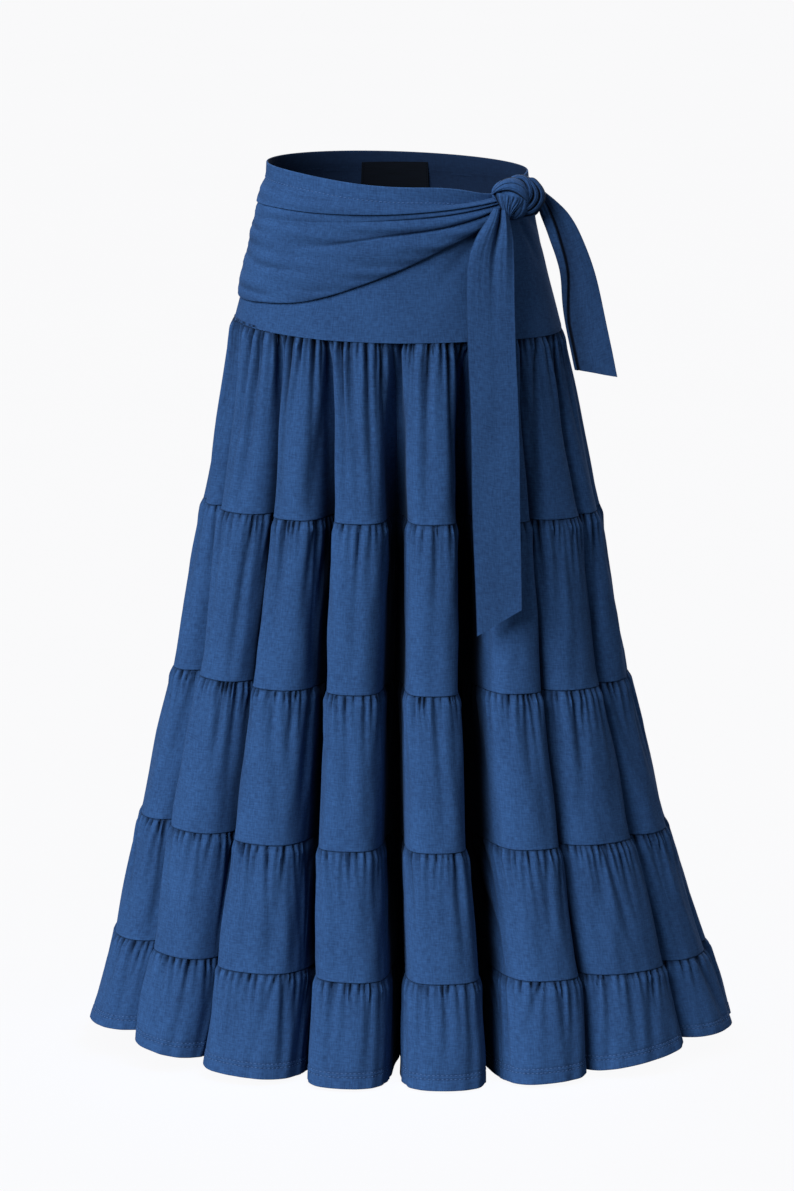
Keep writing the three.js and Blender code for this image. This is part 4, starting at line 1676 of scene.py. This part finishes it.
def knot_straps() -> tuple[KnotStrap, ...]:
    """Give the straps that show on the knot's front."""
    return (
        KnotStrap(
            name="knot_strap_outer",
            outer=(
                (8, 18), (17, 19.5), (23.5, 14), (28.5, 6.4),
                (29.5, -2.3), (24.6, -12), (16.9, -18.8), (6.1, -20.8),
            ),
            inner=(
                (4, 14), (12, 16.5), (18.5, 11), (22.3, 4.5),
                (22.6, -2.5), (18.6, -9.6), (11.5, -14.6), (3, -15),
            ),
            ball=((8.0, 0.0, -13.0), (22.5, 24.5, 17.0)),
            grooves=((0.5, 0.5),),
            tone=0.28,
            rim=0.35,
        ),
        KnotStrap(
            name="knot_strap_middle",
            outer=(
                (2, 19), (10.5, 20.5), (17.2, 14.6), (22.4, 6.5),
                (23.2, -2), (18.9, -10.2), (11.4, -16), (3, -17),
            ),
            inner=(
                (0, 14), (7.5, 15.5), (12.6, 11.8), (16.2, 4.5),
                (16, -2.5), (12, -8.4), (6, -13.4), (0, -14),
            ),
            ball=((6.5, 0.0, -11.0), (20.0, 23.0, 17.5)),
            grooves=((0.45, 0.6),),
            tone=0.22,
            rim=0.3,
        ),
        KnotStrap(
            name="knot_strap_inner",
            outer=(
                (-5, 18.5), (1, 21.8), (7.4, 22), (13, 17.8), (16.6, 9),
                (17, 0), (13.4, -7), (7, -14), (0, -18),
            ),
            inner=(
                (-6, 14), (-2, 16), (3, 16), (7, 13), (10, 7),
                (10, 0), (7, -5), (2, -11), (-4, -15),
            ),
            ball=((4.0, 1.0, -8.5), (17.5, 23.5, 17.0)),
            grooves=((0.4, 0.9), (0.72, 0.7)),
            tone=0.12,
            rim=0.4,
        ),
        KnotStrap(
            name="knot_fan",
            outer=((10.5, -4), (9.5, -7), (5.6, -11), (0, -15.5), (-5, -20), (-7.4, -23)),
            inner=(
                (-23.5, 3), (-22.2, -2), (-20, -7),
                (-17.2, -12.4), (-13.5, -18), (-9.5, -22.5),
            ),
            ball=((-7.0, -3.0, 0.0), (20.0, 24.0, 16.5)),
            grooves=(
                (0.08, 0.8), (0.19, 1.2), (0.29, 1.0), (0.4, 1.3), (0.49, 1.0),
                (0.58, 1.3), (0.66, 0.9), (0.75, 1.2), (0.83, 0.9), (0.91, 1.0),
            ),
            crown=0.8,
            tucked=2.5,
            across=64,
            fine=0.05,
        ),
        KnotStrap(
            name="knot_top_strap",
            outer=(
                (-25.5, 2.0), (-21, 10.4), (-13.3, 17.0), (-3.6, 18.8),
                (4.2, 16.6), (10.1, 11.6), (12.6, 4.6), (12, 0),
            ),
            inner=(
                (-25, 0.5), (-20, 2.6), (-14.3, 4.0), (-7, 3.6),
                (-0.5, 1.0), (4.5, -2.2), (8.6, -5.4), (11, -7.5),
            ),
            ball=((-7.0, -2.0, 0.0), (20.5, 22.5, 17.5)),
            grooves=((0.42, 1.3), (0.83, 0.5)),
            crown=3.0,
            tucked=2.5,
            across=44,
            fine=0.06,
        ),
    )


def ties() -> tuple[TieEnd, TieEnd]:
    """Give the two free ends of the sash."""
    return (
        TieEnd(
            name="tie_front",
            levels=(
                (-31, 98, 112, -87, 3.0),
                (-43, 91, 115, -93, 5.0),
                (-60, 80, 118, -97, 3.6),
                (-84, 72, 119, -99, 1.6),
                (-122, 71, 120, -104, 0.5),
                (-180, 73, 122, -114, 0.2),
                (-230, 75, 124, -122, 0.15),
                (-327, 77, 126, -134, 0.1),
                (-438, 82, 128, -148, 0.1),
            ),
            point=-26.0,
            flat=(0.056, 0.42),
            profile=(-0.2, 0.5, 0.9, 0.9, 0.5, -0.9, 0.1, 0.8, 0.3, -0.4),
            tone=0.2,
        ),
        TieEnd(
            name="tie_side",
            levels=(
                (-18, 137, 149, -54, 1.0),
                (-30, 143, 164, -54, 1.6),
                (-44, 147, 177, -54, 2.0),
                (-66, 155, 189, -55, 2.2),
                (-102, 167, 203, -56, 2.2),
                (-144, 171, 213, -58, 1.9),
                (-211, 183, 227, -62, 1.0),
            ),
            point=7.0,
            flat=(0.05, 0.205),
            profile=(0.0, 0.6, 0.9, 0.7, 0.3, 0.2, 0.4, 0.6, 0.5, 0.2, -0.2, -0.8),
            turned=-3.0,
            sharp=(0.44, 0.08),
            tone=0.12,
            seed=71,
        ),
    )


def main() -> None:
    """Build the pieces in order, then the studio."""
    finishes = Finishes.make()
    hips, folds = HipForm(), FoldForm()
    for half in Half:
        Waistband(half).build(hips, finishes)
        log.info("waistband %s", half.word)
        Yoke(half).build(hips, folds, finishes)
        log.info("yoke %s", half.word)
        for tier in tiers(half):
            tier.build(folds, finishes)
            log.info("tier %d %s", tier.number, half.word)
        Sash(half).build(hips, finishes)
        log.info("sash %s", half.word)
    for turn in knot():
        turn.build(hips, finishes)
        log.info("%s", turn.name)
    for strap in knot_straps():
        strap.build(finishes)
        log.info("%s", strap.name)
    for tie in ties():
        tie.build(finishes)
        log.info("%s", tie.name)
    RibbonLabel().build(hips, finishes)
    log.info("label")
    Studio().build(finishes)


if __name__ == "__main__":
    main()
